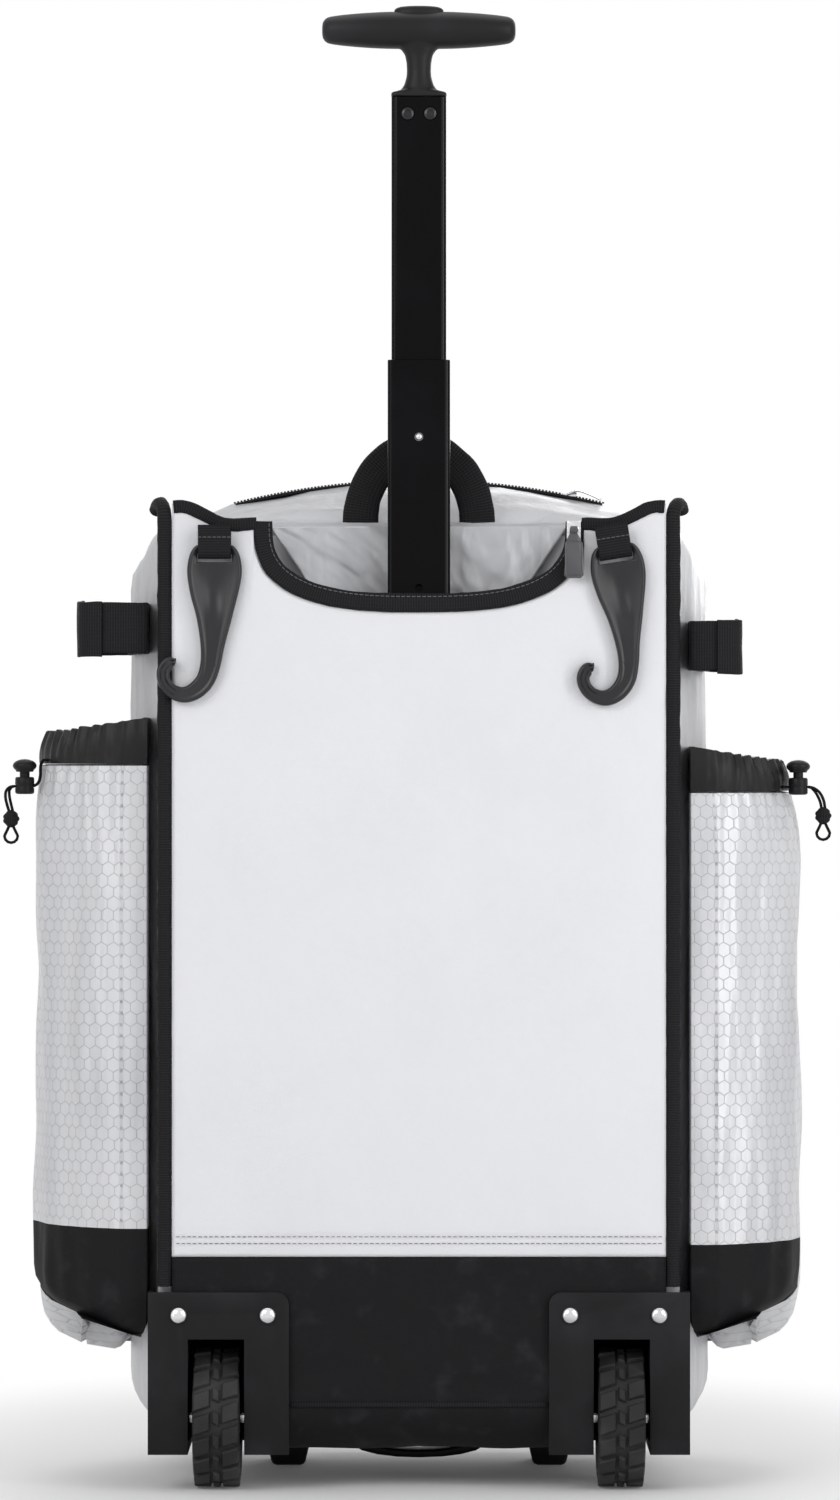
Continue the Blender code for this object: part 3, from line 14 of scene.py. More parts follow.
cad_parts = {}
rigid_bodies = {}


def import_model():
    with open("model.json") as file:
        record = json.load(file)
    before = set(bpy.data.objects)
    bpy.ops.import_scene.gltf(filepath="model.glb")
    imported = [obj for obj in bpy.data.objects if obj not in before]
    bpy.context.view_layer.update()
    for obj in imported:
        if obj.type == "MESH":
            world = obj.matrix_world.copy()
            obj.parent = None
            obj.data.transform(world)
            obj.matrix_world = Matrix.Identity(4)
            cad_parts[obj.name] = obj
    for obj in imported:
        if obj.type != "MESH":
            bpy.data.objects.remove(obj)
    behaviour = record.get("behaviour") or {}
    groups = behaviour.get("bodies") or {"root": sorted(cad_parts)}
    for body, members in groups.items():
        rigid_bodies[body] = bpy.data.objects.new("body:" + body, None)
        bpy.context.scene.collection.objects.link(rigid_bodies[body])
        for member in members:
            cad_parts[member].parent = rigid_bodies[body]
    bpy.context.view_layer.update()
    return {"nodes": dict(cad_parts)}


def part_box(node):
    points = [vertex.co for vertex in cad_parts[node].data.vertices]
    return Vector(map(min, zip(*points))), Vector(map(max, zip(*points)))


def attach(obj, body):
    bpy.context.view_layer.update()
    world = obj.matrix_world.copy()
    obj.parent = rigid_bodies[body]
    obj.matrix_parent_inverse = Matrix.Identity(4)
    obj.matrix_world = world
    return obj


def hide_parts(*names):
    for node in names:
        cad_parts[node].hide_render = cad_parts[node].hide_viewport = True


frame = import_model()
scene = bpy.context.scene
for leftover in [o for o in scene.objects if o.name in ("Cube", "Light", "Camera")]:
    bpy.data.objects.remove(leftover, do_unlink=True)

BACK_FACE_Y = -0.124
SIDES = {"left": -1, "right": 1}


def at_depth(depth):
    return BACK_FACE_Y + depth


# %% [markdown]
# ## Camera and light
# A long lens stands level with the middle of the bag, straight behind it. Two big soft lamps and a
# grey world light the cloth evenly, and two narrow ones draw the bright lines down the trolley's
# lacquered corners. The pale floor and world turn white only for what looks at them directly. The
# exception is a patch under the bag where the floor's glow is cut: painted shade round its real shadow.

# %% Camera
CAMERA_DISTANCE = 4.0
camera_data = bpy.data.cameras.new("camera")
camera_data.sensor_width = 36.0
camera_data.lens = 147.0
camera_data.clip_end = 100.0
camera = bpy.data.objects.new("camera", camera_data)
camera.location = (0.0007, BACK_FACE_Y - CAMERA_DISTANCE, 0.485)
camera.rotation_euler = (math.radians(90.0), 0.0, 0.0)
scene.collection.objects.link(camera)
scene.camera = camera
scene.view_settings.view_transform = "Standard"


# %% Shader maths as Python expressions
class Wire:
    """A value inside a material. Arithmetic on it adds the Math nodes that compute the result."""

    def __init__(self, tree, socket):
        self.tree, self.socket = tree, socket

    def math(self, operation, *values):
        node = self.tree.nodes.new("ShaderNodeMath")
        node.operation = operation
        for slot, value in zip(node.inputs, values):
            if isinstance(value, Wire):
                self.tree.links.new(value.socket, slot)
            else:
                slot.default_value = value
        return Wire(self.tree, node.outputs[0])

    def __add__(self, other):
        return self.math("ADD", self, other)

    def __sub__(self, other):
        return self.math("SUBTRACT", self, other)

    def __rsub__(self, other):
        return self.math("SUBTRACT", other, self)

    def __mul__(self, other):
        return self.math("MULTIPLY", self, other)

    def __truediv__(self, other):
        return self.math("DIVIDE", self, other)

    def __mod__(self, other):
        return self.math("FLOORED_MODULO", self, other)

    def __abs__(self):
        return self.math("ABSOLUTE", self)

    __radd__, __rmul__ = __add__, __mul__

    def sin(self):
        return self.math("SINE", self)

    def most(self, other):
        return self.math("MAXIMUM", self, other)

    def below(self, other):
        return self.math("LESS_THAN", self, other)

    def ramp(self, start, end):
        """0 before start, 1 after end, smooth between."""
        node = self.tree.nodes.new("ShaderNodeMapRange")
        node.interpolation_type = "SMOOTHSTEP"
        self.tree.links.new(self.socket, node.inputs["Value"])
        node.inputs["From Min"].default_value = start
        node.inputs["From Max"].default_value = end
        return Wire(self.tree, node.outputs["Result"])


class Finish:
    """A material with one Principled shader, and short ways to add nodes to it."""

    def __init__(self, name, colour, roughness, **sockets):
        self.material = bpy.data.materials.new(name)
        self.material.use_nodes = True
        self.material.diffuse_color = (*colour, 1.0)
        self.tree = self.material.node_tree
        self.shader = self.tree.nodes["Principled BSDF"]
        self.colour = colour
        self.set("Base Color", (*colour, 1.0))
        self.set("Roughness", roughness)
        for key, value in sockets.items():
            self.set(key.replace("_", " "), value)

    def set(self, socket, value):
        if isinstance(value, Wire):
            self.tree.links.new(value.socket, self.shader.inputs[socket])
        else:
            self.shader.inputs[socket].default_value = value

    def node(self, kind, settings=(), values=()):
        node = self.tree.nodes.new(kind)
        for key, value in dict(settings).items():
            setattr(node, key, value)
        for key, value in dict(values).items():
            if isinstance(value, Wire):
                self.tree.links.new(value.socket, node.inputs[key])
            else:
                node.inputs[key].default_value = value
        return node

    def wire(self, node, output=0):
        return Wire(self.tree, node.outputs[output])

    def axes(self, uv=False):
        """The three Object coordinates, or the cloth's own flat coordinates in metres."""
        source = self.node("ShaderNodeTexCoord")
        parts = self.node("ShaderNodeSeparateXYZ", values={"Vector": self.wire(source, "UV" if uv else "Object")})
        return [self.wire(parts, i) for i in range(3)]

    def noise(self, scale, detail=2.0, uv=False, stretch=(1.0, 1.0, 1.0)):
        source = self.node("ShaderNodeTexCoord")
        mapping = self.node("ShaderNodeMapping",
            values={"Vector": self.wire(source, "UV" if uv else "Object"), "Scale": stretch})
        cloud = self.node("ShaderNodeTexNoise",
            values={"Vector": self.wire(mapping), "Scale": scale, "Detail": detail})
        return self.wire(cloud, "Fac")

    def tint(self, mask, other):
        """Turns the base colour to another one where the mask is 1."""
        mix = self.node("ShaderNodeMix", {"data_type": "RGBA"}, {"Factor": mask})
        mix.inputs[6].default_value = (*self.colour, 1.0)
        mix.inputs[7].default_value = (*other, 1.0)
        self.tree.links.new(mix.outputs[2], self.shader.inputs["Base Color"])

    def relief(self, height):
        """Height in metres."""
        bump = self.node("ShaderNodeBump", values={"Strength": 1.0, "Distance": 1.0, "Height": height})
        self.tree.links.new(bump.outputs["Normal"], self.shader.inputs["Normal"])


# %% World and floor
def white_to_the_eye(tree):
    """1 for rays from the camera and for what gloss and glass reflect, else 0."""
    path = tree.nodes.new("ShaderNodeLightPath")
    seen = Wire(tree, path.outputs["Is Camera Ray"])
    for kind in ("Is Glossy Ray", "Is Transmission Ray"):
        seen = seen.most(Wire(tree, path.outputs[kind]))
    return seen


world = bpy.data.worlds.new("studio")
world.use_nodes = True
scene.world = world
WORLD_LIGHT = 0.34
backdrop = world.node_tree.nodes["Background"]
backdrop.inputs["Color"].default_value = (1.0, 1.0, 1.0, 1.0)
strength = white_to_the_eye(world.node_tree) * (1.0 - WORLD_LIGHT) + WORLD_LIGHT
world.node_tree.links.new(strength.socket, backdrop.inputs["Strength"])

floor_mesh = bpy.data.meshes.new("studio_floor")
floor_mesh.from_pydata([(-9, -9, 0), (9, -9, 0), (9, 9, 0), (-9, 9, 0)], [], [(0, 1, 2, 3)])
floor = bpy.data.objects.new("studio_floor", floor_mesh)
scene.collection.objects.link(floor)
paper = Finish("floor_paper", (0.90, 0.90, 0.90), 0.9)
glow = paper.node("ShaderNodeEmission", values={"Color": (1, 1, 1, 1), "Strength": 1.0})
blend_floor = paper.node("ShaderNodeMixShader")
NEAR_GLOW = 0.05  # under the bag the glow is cut, so the paper shows its lit grey and its real soft shadow: a painted shade patch round that shadow; further off it is white
fx, fy, _ = paper.axes()
# Painted shade: a patch centred under the bag where the floor is not turned white, so it reads grey even outside
# the real shadow.
clear_of_shade_patch = (fx * fx + (fy - 0.05) * (fy - 0.05) * 0.55).ramp(0.02, 0.26)
paper.tree.links.new((white_to_the_eye(paper.tree) * (clear_of_shade_patch * (1.0 - NEAR_GLOW) + NEAR_GLOW)).socket,
    blend_floor.inputs[0])
paper.tree.links.new(paper.shader.outputs[0], blend_floor.inputs[1])
paper.tree.links.new(glow.outputs[0], blend_floor.inputs[2])
paper.tree.links.new(blend_floor.outputs[0], paper.tree.nodes["Material Output"].inputs["Surface"])
floor.data.materials.append(paper.material)


# %% Lamps
def add_lamp(name, place, aim, width, height, power):
    data = bpy.data.lights.new(name, "AREA")
    data.shape, data.size, data.size_y, data.energy = "RECTANGLE", width, height, power
    lamp = bpy.data.objects.new(name, data)
    lamp.location = place
    lamp.rotation_euler = (Vector(aim) - Vector(place)).to_track_quat("-Z", "Y").to_euler()
    scene.collection.objects.link(lamp)


MIDDLE = (0.0, 0.0, 0.45)
add_lamp("key_soft", (-1.7, -2.6, 1.9), MIDDLE, 1.6, 1.6, 35.0)
add_lamp("fill_soft", (1.9, -2.4, 1.3), MIDDLE, 1.6, 1.6, 17.0)
add_lamp("top_soft", (0.0, 0.4, 2.6), MIDDLE, 2.0, 1.4, 12.0)
add_lamp("front_soft", (0.8, 2.8, 1.4), MIDDLE, 1.8, 1.6, 24.0)
add_lamp("edge_right", (1.25, -1.0, 0.75), (0, -0.1, 0.7), 0.16, 1.7, 7.5)
add_lamp("edge_left", (-1.25, -1.0, 0.75), (0, -0.1, 0.7), 0.22, 1.7, 2.6)

# %% [markdown]
# ## Finishes
# Each finish carries what a hand would feel: the weave of coated cloth, the honeycomb pressed into the
# sleeves, ribs across webbing, the fine spark texture of moulded plastic. The shell and sleeve cloth are
# also painted darker along their folds, and the collar lighter along its pleats: painted shade and
# painted highlight. Heights are in metres, so a pattern keeps its real scale on any piece.

# %% Cloth finishes
TURN = math.tau


def weave(across, along, pitch):
    return (across * (TURN / pitch)).sin() * (along * (TURN / pitch)).sin()


SILVER = (0.735, 0.740, 0.765)
panel_cloth = Finish("panel_cloth", SILVER, 0.50, Metallic=0.0, Specular_IOR_Level=0.45)
x, y, z = panel_cloth.axes()
pores = weave(x, z, 0.0021) * 0.5 + 0.5
blotches = panel_cloth.noise(14.0, 3.0)
panel_cloth.tint(blotches.ramp(0.40, 0.75) * 0.16 + pores.ramp(0.75, 1.0) * 0.22, (0.63, 0.635, 0.665))
panel_cloth.relief(weave(x, z, 0.0021) * 0.000035 + panel_cloth.noise(38.0, 4.0) * 0.0009)

shell_cloth = Finish("shell_cloth", (0.50, 0.505, 0.525), 0.34, Metallic=0.10)
x, y, z = shell_cloth.axes()
folds = shell_cloth.noise(24.0, 4.0, stretch=(1.0, 1.0, 0.5))
# Painted shade on the folds: the colour darkens towards this grey where the fold field is high, the same field that
# raises the fold bumps.
shell_cloth.tint(folds.ramp(0.42, 0.7) * 0.3, (0.42, 0.425, 0.445))
shell_cloth.relief(folds * 0.0055 + weave(x + y, z, 0.0012) * 0.00003)

HEX_PITCH = 0.0087
HEX_LINE = 0.055


def honeycomb(across, along):
    """0 inside a cell and 1 on its edges, for upright hexagons of this pitch."""
    u, v = across / HEX_PITCH, along / HEX_PITCH
    tall = math.sqrt(3.0)
    ax, ay = u % 1.0 - 0.5, v % tall - tall / 2
    bx, by = (u - 0.5) % 1.0 - 0.5, (v - tall / 2) % tall - tall / 2
    first = (ax * ax + ay * ay).below(bx * bx + by * by)
    gx, gy = abs(bx + (ax - bx) * first), abs(by + (ay - by) * first)
    edge = 0.5 - gx.most(gx * 0.5 + gy * (tall / 2))
    return 1.0 - edge.ramp(0.0, HEX_LINE)


sleeve_cloth = Finish("sleeve_cloth", (0.64, 0.645, 0.665), 0.27, Metallic=0.10, Coat_Roughness=0.2)
u, v, _ = sleeve_cloth.axes(uv=True)
cells = honeycomb(u, v)
drape = sleeve_cloth.noise(26.0, 3.0, stretch=(1.0, 1.0, 0.22))
# Besides the honeycomb lines, the tint paints shade down the upright folds: darker streaks where the drape field,
# which also raises the folds, is high.
sleeve_cloth.tint(cells * 0.55 + drape.ramp(0.45, 0.75) * 0.30, (0.36, 0.365, 0.39))
sleeve_cloth.set("Roughness", 0.26 + drape * 0.14)
sleeve_cloth.relief(cells * -0.00022 + drape * 0.0090)

black_cloth = Finish("black_cloth", (0.009, 0.009, 0.010), 0.62, Specular_IOR_Level=0.10)
x, y, z = black_cloth.axes()
grain = black_cloth.noise(60.0, 4.0)
black_cloth.tint(grain.ramp(0.5, 0.8), (0.020, 0.020, 0.022))
black_cloth.relief(weave(x, z, 0.0014) * 0.00006 + grain * 0.0006)

collar_cloth = Finish("collar_cloth", (0.010, 0.010, 0.011), 0.45, Specular_IOR_Level=0.20)
pleats = collar_cloth.noise(120.0, 3.0, stretch=(1.0, 1.0, 0.25))
# Painted highlight: the colour is lightened along the pleats, where the pleat field that raises them is high.
collar_cloth.tint(pleats.ramp(0.5, 0.8), (0.022, 0.022, 0.024))
collar_cloth.relief(pleats * 0.0011)

webbing = Finish("webbing", (0.008, 0.008, 0.009), 0.62, Specular_IOR_Level=0.10)
u, v, _ = webbing.axes(uv=True)
ribs = (u * (TURN / 0.0017)).sin() * 0.5 + 0.5
webbing.tint(ribs.ramp(0.4, 1.0) * 0.7, (0.022, 0.022, 0.024))
webbing.relief(ribs * 0.00014 + (v * (TURN / 0.0024)).sin() * 0.00006)

lining = Finish("lining", (0.045, 0.045, 0.050), 0.7)
lining.relief(lining.noise(60.0, 3.0) * 0.0006)

thread = Finish("thread", (0.10, 0.10, 0.115), 0.55)
thread.relief(thread.noise(900.0, 1.0) * 0.00008)


# %% Hard finishes
def moulded(name, colour, lighter, roughness, grain_scale, depth, **sockets):
    finish = Finish(name, colour, roughness, **sockets)
    fine = finish.noise(grain_scale, 2.0)
    broad = finish.noise(22.0, 3.0)
    finish.tint(broad.ramp(0.45, 0.75), lighter)
    finish.set("Roughness", roughness - 0.06 + broad * 0.12)
    finish.relief(fine * depth)
    return finish


black_plastic = moulded("black_plastic", (0.010, 0.010, 0.011), (0.016, 0.016, 0.018), 0.40, 1400.0, 0.00006,
                        Specular_IOR_Level=0.14)
hook_plastic = moulded("hook_plastic", (0.018, 0.018, 0.020), (0.028, 0.028, 0.031), 0.30, 1100.0, 0.00003,
                        Specular_IOR_Level=0.30)
grey_plastic = moulded("grey_plastic", (0.060, 0.060, 0.064), (0.090, 0.090, 0.096), 0.40, 1200.0, 0.00004)
grip_rubber = moulded("grip_rubber", (0.012, 0.012, 0.013), (0.019, 0.019, 0.021), 0.44, 1500.0, 0.00005,
                        Specular_IOR_Level=0.16)
tyre_rubber = moulded("tyre_rubber", (0.022, 0.022, 0.023), (0.045, 0.045, 0.046), 0.52, 900.0, 0.00010,
                        Specular_IOR_Level=0.15)
lacquer = moulded("lacquer", (0.0025, 0.0025, 0.003), (0.004, 0.004, 0.005), 0.12, 300.0, 0.000002,
                  Specular_IOR_Level=0.07)
dark_steel = moulded("dark_steel", (0.035, 0.035, 0.037), (0.06, 0.06, 0.062), 0.28, 800.0, 0.00001, Metallic=1.0)
chrome = moulded("chrome", (0.72, 0.72, 0.73), (0.60, 0.60, 0.62), 0.16, 600.0, 0.000004, Metallic=1.0)


# %% [markdown]
# ## Ways to make a mesh
# Most soft pieces are skins over loops: a loop is one closed section, and the skin joins each loop to
# the next. Strips and cords sweep one section along a path. Cloth then gets shallow random folds, by
# moving each point along its normal by a smooth noise that is the same on every run.

# %% Helpers for skins and sweeps
def make_piece(name, points, faces, finish, uv=None, sharp=40.0):
    mesh = bpy.data.meshes.new(name)
    mesh.from_pydata([tuple(p) for p in points], [], faces)
    mesh.validate()
    if uv:
        layer = mesh.uv_layers.new(name="cloth")
        for loop in mesh.loops:
            layer.data[loop.index].uv = uv[loop.vertex_index]
    for one in finish if isinstance(finish, list) else [finish]:
        mesh.materials.append(one.material)
    tidy_normals(mesh, sharp)
    piece = bpy.data.objects.new(name, mesh)
    scene.collection.objects.link(piece)
    return piece


def tidy_normals(mesh, sharp):
    bm = bmesh.new()
    bm.from_mesh(mesh)
    bmesh.ops.recalc_face_normals(bm, faces=bm.faces)
    if bm.faces and bm.calc_volume(signed=True) < 0 and all(len(e.link_faces) == 2 for e in bm.edges):
        bmesh.ops.reverse_faces(bm, faces=bm.faces)
    bm.to_mesh(mesh)
    bm.free()
    mesh.shade_smooth()
    mesh.set_sharp_from_angle(angle=math.radians(sharp))


def skin(loops, ends=True, ring=False):
    """Points and faces of a skin over loops of equal length. A ring joins the last loop to the first."""
    count = len(loops[0])
    points = [p for loop in loops for p in loop]
    faces = []
    for low in range(len(loops) if ring else len(loops) - 1):
        high = (low + 1) % len(loops)
        for i in range(count):
            j = (i + 1) % count
            faces.append((low * count + i, low * count + j, high * count + j, high * count + i))
    if ends and not ring:
        faces.append(tuple(range(count)))
        faces.append(tuple((len(loops) - 1) * count + i for i in range(count)))
    return points, faces


def sheet_faces(rows, columns):
    return [
        (r * columns + c, r * columns + c + 1, (r + 1) * columns + c + 1, (r + 1) * columns + c)
        for r in range(rows - 1) for c in range(columns - 1)
    ]


def smooth_path(points, spacing):
    """Catmull-Rom curve through the points, read at about this spacing."""
    points = [Vector(p) for p in points]
    points = [2 * points[0] - points[1], *points, 2 * points[-1] - points[-2]]
    path = []
    for a, b, c, d in zip(points, points[1:], points[2:], points[3:]):
        count = max(1, round((c - b).length / spacing))
        for i in range(count):
            t = i / count
            path.append(
                0.5 * (2 * b + (c - a) * t + (2 * a - 5 * b + 4 * c - d) * t**2
                       + (3 * b - a - 3 * c + d) * t**3)
            )
    return path + [points[-2]]


def even_path(points, spacing):
    """The same line, read at even steps."""
    points = [Vector(p) for p in points]
    lengths = [0.0]
    for a, b in zip(points, points[1:]):
        lengths.append(lengths[-1] + (b - a).length)
    count = max(2, round(lengths[-1] / spacing))
    path, k = [], 0
    for i in range(count + 1):
        want = lengths[-1] * i / count
        while k < len(points) - 2 and lengths[k + 1] < want:
            k += 1
        span = max(lengths[k + 1] - lengths[k], 1e-9)
        path.append(points[k].lerp(points[k + 1], (want - lengths[k]) / span))
    return path


def rounded_rectangle(half_u, half_v, radius, corner_steps=3, centre=(0.0, 0.0), straight=1):
    points = []
    for quarter, (su, sv) in enumerate(((1, 1), (-1, 1), (-1, -1), (1, -1))):
        for step in range(corner_steps + 1):
            angle = math.pi / 2 * (quarter + step / corner_steps)
            u = su * (half_u - radius) + radius * math.cos(angle)
            v = sv * (half_v - radius) + radius * math.sin(angle)
            points.append((centre[0] + u, centre[1] + v))
    return points if straight == 1 else between(points, corner_steps + 1, straight)


def between(points, every, straight):
    """Adds points along the long runs that follow each corner."""
    dense = []
    for i, point in enumerate(points):
        dense.append(point)
        if i % every == every - 1:
            ahead = points[(i + 1) % len(points)]
            for k in range(1, straight):
                dense.append(tuple(Vector(point).lerp(Vector(ahead), k / straight)))
    return dense


def sweep(name, path, section, finish, across=None, closed=False, sharp=40.0, taper=None):
    """A section carried along a path. Section points are (sideways, outward) from the path.

    across gives each point's sideways direction; without it the strip keeps level with the ground.
    """
    path = [Vector(p) for p in path]
    loops, uv, run = [], [], 0.0
    girth = [0.0]
    for a, b in zip(section, section[1:]):
        girth.append(girth[-1] + math.dist(a, b))
    last = len(path) - 1
    for i, point in enumerate(path):
        ahead = path[(i + 1) % len(path)] if closed else path[min(i + 1, last)]
        behind = path[i - 1] if closed or i else path[0]
        along = (ahead - behind).normalized()
        side = Vector(across(i) if callable(across) else across or (0, 0, 1))
        side = (side - along * side.dot(along)).normalized()
        out = along.cross(side)
        run += (point - path[i - 1]).length if i else 0.0
        size = taper(i / last) if taper else 1.0
        loops.append([point + side * (a * size) + out * (b * size) for a, b in section])
        uv += [(run, g) for g in girth]
    points, faces = skin(loops, ends=not closed, ring=closed)
    return make_piece(name, points, faces, finish, uv, sharp)


def strip_section(half_width, half_thickness, corner=None):
    corner = corner or half_thickness * 0.7
    return rounded_rectangle(half_width, half_thickness, corner, 3, straight=4)


def turned(name, profile, centre, axis, finish, steps=48, bored=False, sharp=40.0):
    """Solid of revolution: profile points are (radius, distance along the axis)."""
    order = {"X": (1, 2, 0), "Y": (0, 2, 1), "Z": (0, 1, 2)}[axis]
    loops = []
    for radius, along in profile:
        loop = []
        for i in range(steps):
            local = (radius * math.cos(TURN * i / steps), radius * math.sin(TURN * i / steps), along)
            spot = [0.0, 0.0, 0.0]
            for value, slot in zip(local, order):
                spot[slot] = value
            loop.append(Vector(centre) + Vector(spot))
        loops.append(loop)
    points, faces = skin(loops, ring=bored)
    return make_piece(name, points, faces, finish, sharp=sharp)


def crumple(piece, amount, scale, stretch=(1, 1, 1), keep=lambda p: 1.0, seed=0.0):
    """Moves each point along its normal by smooth noise."""
    mesh = piece.data
    normals = [n.vector.copy() for n in mesh.vertex_normals]
    for vertex, normal in zip(mesh.vertices, normals):
        spot = Vector([c * s / scale for c, s in zip(vertex.co, stretch)]) + Vector((seed, 0, 0))
        vertex.co += normal * (noise.fractal(spot, 1.0, 2.0, 3) * amount * keep(vertex.co))
    mesh.update()


def baked(piece):
    """The piece with its modifiers applied, as a plain mesh."""
    graph = bpy.context.evaluated_depsgraph_get()
    mesh = bpy.data.meshes.new_from_object(piece.evaluated_get(graph))
    piece.modifiers.clear()
    piece.data = mesh
    return piece


def thickened(piece, thickness, offset=1.0):
    modifier = piece.modifiers.new("thickness", "SOLIDIFY")
    modifier.thickness, modifier.offset = thickness, offset
    modifier.use_even_offset = False
    return baked(piece)


def cut(piece, outlines, operation="DIFFERENCE"):
    """Cuts prisms from a piece. Each is (outline, axis, start, end)."""
    cutters = []
    for outline, axis, start, end in outlines:
        order = {"X": lambda u, v, w: (w, u, v), "Y": lambda u, v, w: (u, w, v), "Z": lambda u, v,
            w: (u, v, w)}[axis]
        points, faces = skin([[order(u, v, w) for u, v in outline] for w in (start, end)])
        cutter = make_piece("cutter", points, faces, black_plastic)
        cutters.append(cutter)
        modifier = piece.modifiers.new("cut", "BOOLEAN")
        modifier.operation, modifier.solver, modifier.object = operation, "EXACT", cutter
    baked(piece)
    for cutter in cutters:
        bpy.data.objects.remove(cutter, do_unlink=True)
    return piece


def softened_copy(node, name, finish, width, segments=2, subdivide=0):
    """A copy of a CAD node with its doubles merged, its flat faces whole and its edges rounded."""
    mesh = frame["nodes"][node].data.copy()
    mesh.name = name
    bm = bmesh.new()
    bm.from_mesh(mesh)
    bmesh.ops.remove_doubles(bm, verts=bm.verts, dist=2e-6)
    bmesh.ops.dissolve_limit(bm, angle_limit=math.radians(1.5), verts=bm.verts, edges=bm.edges)
    bm.to_mesh(mesh)
    bm.free()
    mesh.materials.clear()
    mesh.materials.append(finish.material)
    piece = bpy.data.objects.new(name, mesh)
    scene.collection.objects.link(piece)
    rounding = piece.modifiers.new("rounding", "BEVEL")
    rounding.width, rounding.segments, rounding.limit_method = width, segments, "ANGLE"
    rounding.angle_limit = math.radians(35.0)
    rounding.use_clamp_overlap = True
    baked(piece)
    piece.data.shade_smooth()
    piece.data.set_sharp_from_angle(angle=math.radians(35.0))
    return piece


def fit(piece, body, slot, *nodes):
    """The piece rides on a body and stands for these CAD nodes, which it hides. The slot is not used."""
    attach(piece, body)
    if nodes:
        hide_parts(*nodes)
    return piece


# %% [markdown]
# ## Things that repeat
# Stitches, rivets, screw heads and zip teeth are one small shape set down at many places. A Geometry
# Nodes tree does that: it takes points that carry a turn, puts the stamp at each, realizes the copies
# and gives them their finish. A second tree sets copies round an axle, for the tread of a tyre.

# %% Geometry Nodes trees
def new_tree(name, inputs):
    tree = bpy.data.node_groups.new(name, "GeometryNodeTree")
    tree.interface.new_socket("Geometry", in_out="INPUT", socket_type="NodeSocketGeometry")
    for label, kind in inputs:
        tree.interface.new_socket(label, in_out="INPUT", socket_type=kind)
    tree.interface.new_socket("Geometry", in_out="OUTPUT", socket_type="NodeSocketGeometry")
    return tree, tree.nodes.new("NodeGroupInput"), tree.nodes.new("NodeGroupOutput")


def finish_tree(tree, source, out, copies):
    real = tree.nodes.new("GeometryNodeRealizeInstances")
    paint = tree.nodes.new("GeometryNodeSetMaterial")
    tree.links.new(copies, real.inputs[0])
    tree.links.new(real.outputs[0], paint.inputs["Geometry"])
    tree.links.new(source.outputs["Finish"], paint.inputs["Material"])
    tree.links.new(paint.outputs[0], out.inputs[0])


scatter_tree, source, out = new_tree("copies_on_points",
    [("Stamp", "NodeSocketObject"), ("Finish", "NodeSocketMaterial")])
stamp = scatter_tree.nodes.new("GeometryNodeObjectInfo")
turn = scatter_tree.nodes.new("GeometryNodeInputNamedAttribute")
turn.data_type = "FLOAT_VECTOR"
turn.inputs["Name"].default_value = "turn"
place = scatter_tree.nodes.new("GeometryNodeInstanceOnPoints")
scatter_tree.links.new(source.outputs["Stamp"], stamp.inputs["Object"])
scatter_tree.links.new(source.outputs["Geometry"], place.inputs["Points"])
scatter_tree.links.new(stamp.outputs["Geometry"], place.inputs["Instance"])
scatter_tree.links.new(turn.outputs["Attribute"], place.inputs["Rotation"])
finish_tree(scatter_tree, source, out, place.outputs[0])

ring_tree, source, out = new_tree("copies_round_axle", [
    ("Count", "NodeSocketInt"), ("Centre", "NodeSocketVector"), ("Finish", "NodeSocketMaterial")])
spots = ring_tree.nodes.new("GeometryNodePoints")
index = ring_tree.nodes.new("GeometryNodeInputIndex")
share = ring_tree.nodes.new("ShaderNodeMath")
share.operation = "DIVIDE"
angle = ring_tree.nodes.new("ShaderNodeMath")
angle.operation = "MULTIPLY"
angle.inputs[1].default_value = TURN
about = ring_tree.nodes.new("ShaderNodeCombineXYZ")
place = ring_tree.nodes.new("GeometryNodeInstanceOnPoints")
for a, b in (
    (source.outputs["Count"], spots.inputs["Count"]), (source.outputs["Centre"], spots.inputs["Position"]),
    (index.outputs[0], share.inputs[0]), (source.outputs["Count"], share.inputs[1]),
    (share.outputs[0], angle.inputs[0]), (angle.outputs[0], about.inputs["X"]),
    (spots.outputs[0], place.inputs["Points"]), (source.outputs["Geometry"], place.inputs["Instance"]),
    (about.outputs[0], place.inputs["Rotation"]),
):
    ring_tree.links.new(a, b)
finish_tree(ring_tree, source, out, place.outputs[0])


def run_tree(piece, tree, values):
    modifier = piece.modifiers.new("copies", "NODES")
    modifier.node_group = tree
    names = {item.name: item.identifier for item in tree.interface.items_tree
             if item.item_type == "SOCKET" and item.in_out == "INPUT"}
    for label, value in values.items():
        modifier[names[label]] = value
    baked(piece)
    piece.data.shade_smooth()
    piece.data.set_sharp_from_angle(angle=math.radians(45.0))
    return piece


def copies_at(name, spots, stamp_piece, finish):
    """spots are (place, turn) pairs, the turn in radians about X, Y and Z."""
    mesh = bpy.data.meshes.new(name)
    mesh.from_pydata([tuple(p) for p, _ in spots], [], [])
    turns = mesh.attributes.new("turn", "FLOAT_VECTOR", "POINT")
    turns.data.foreach_set("vector", [c for _, t in spots for c in t])
    piece = bpy.data.objects.new(name, mesh)
    scene.collection.objects.link(piece)
    run_tree(piece, scatter_tree, {"Stamp": stamp_piece, "Finish": finish.material})
    return piece


def stamp_from(name, points, faces):
    piece = make_piece(name, points, faces, black_plastic)
    piece.hide_render = True
    return piece


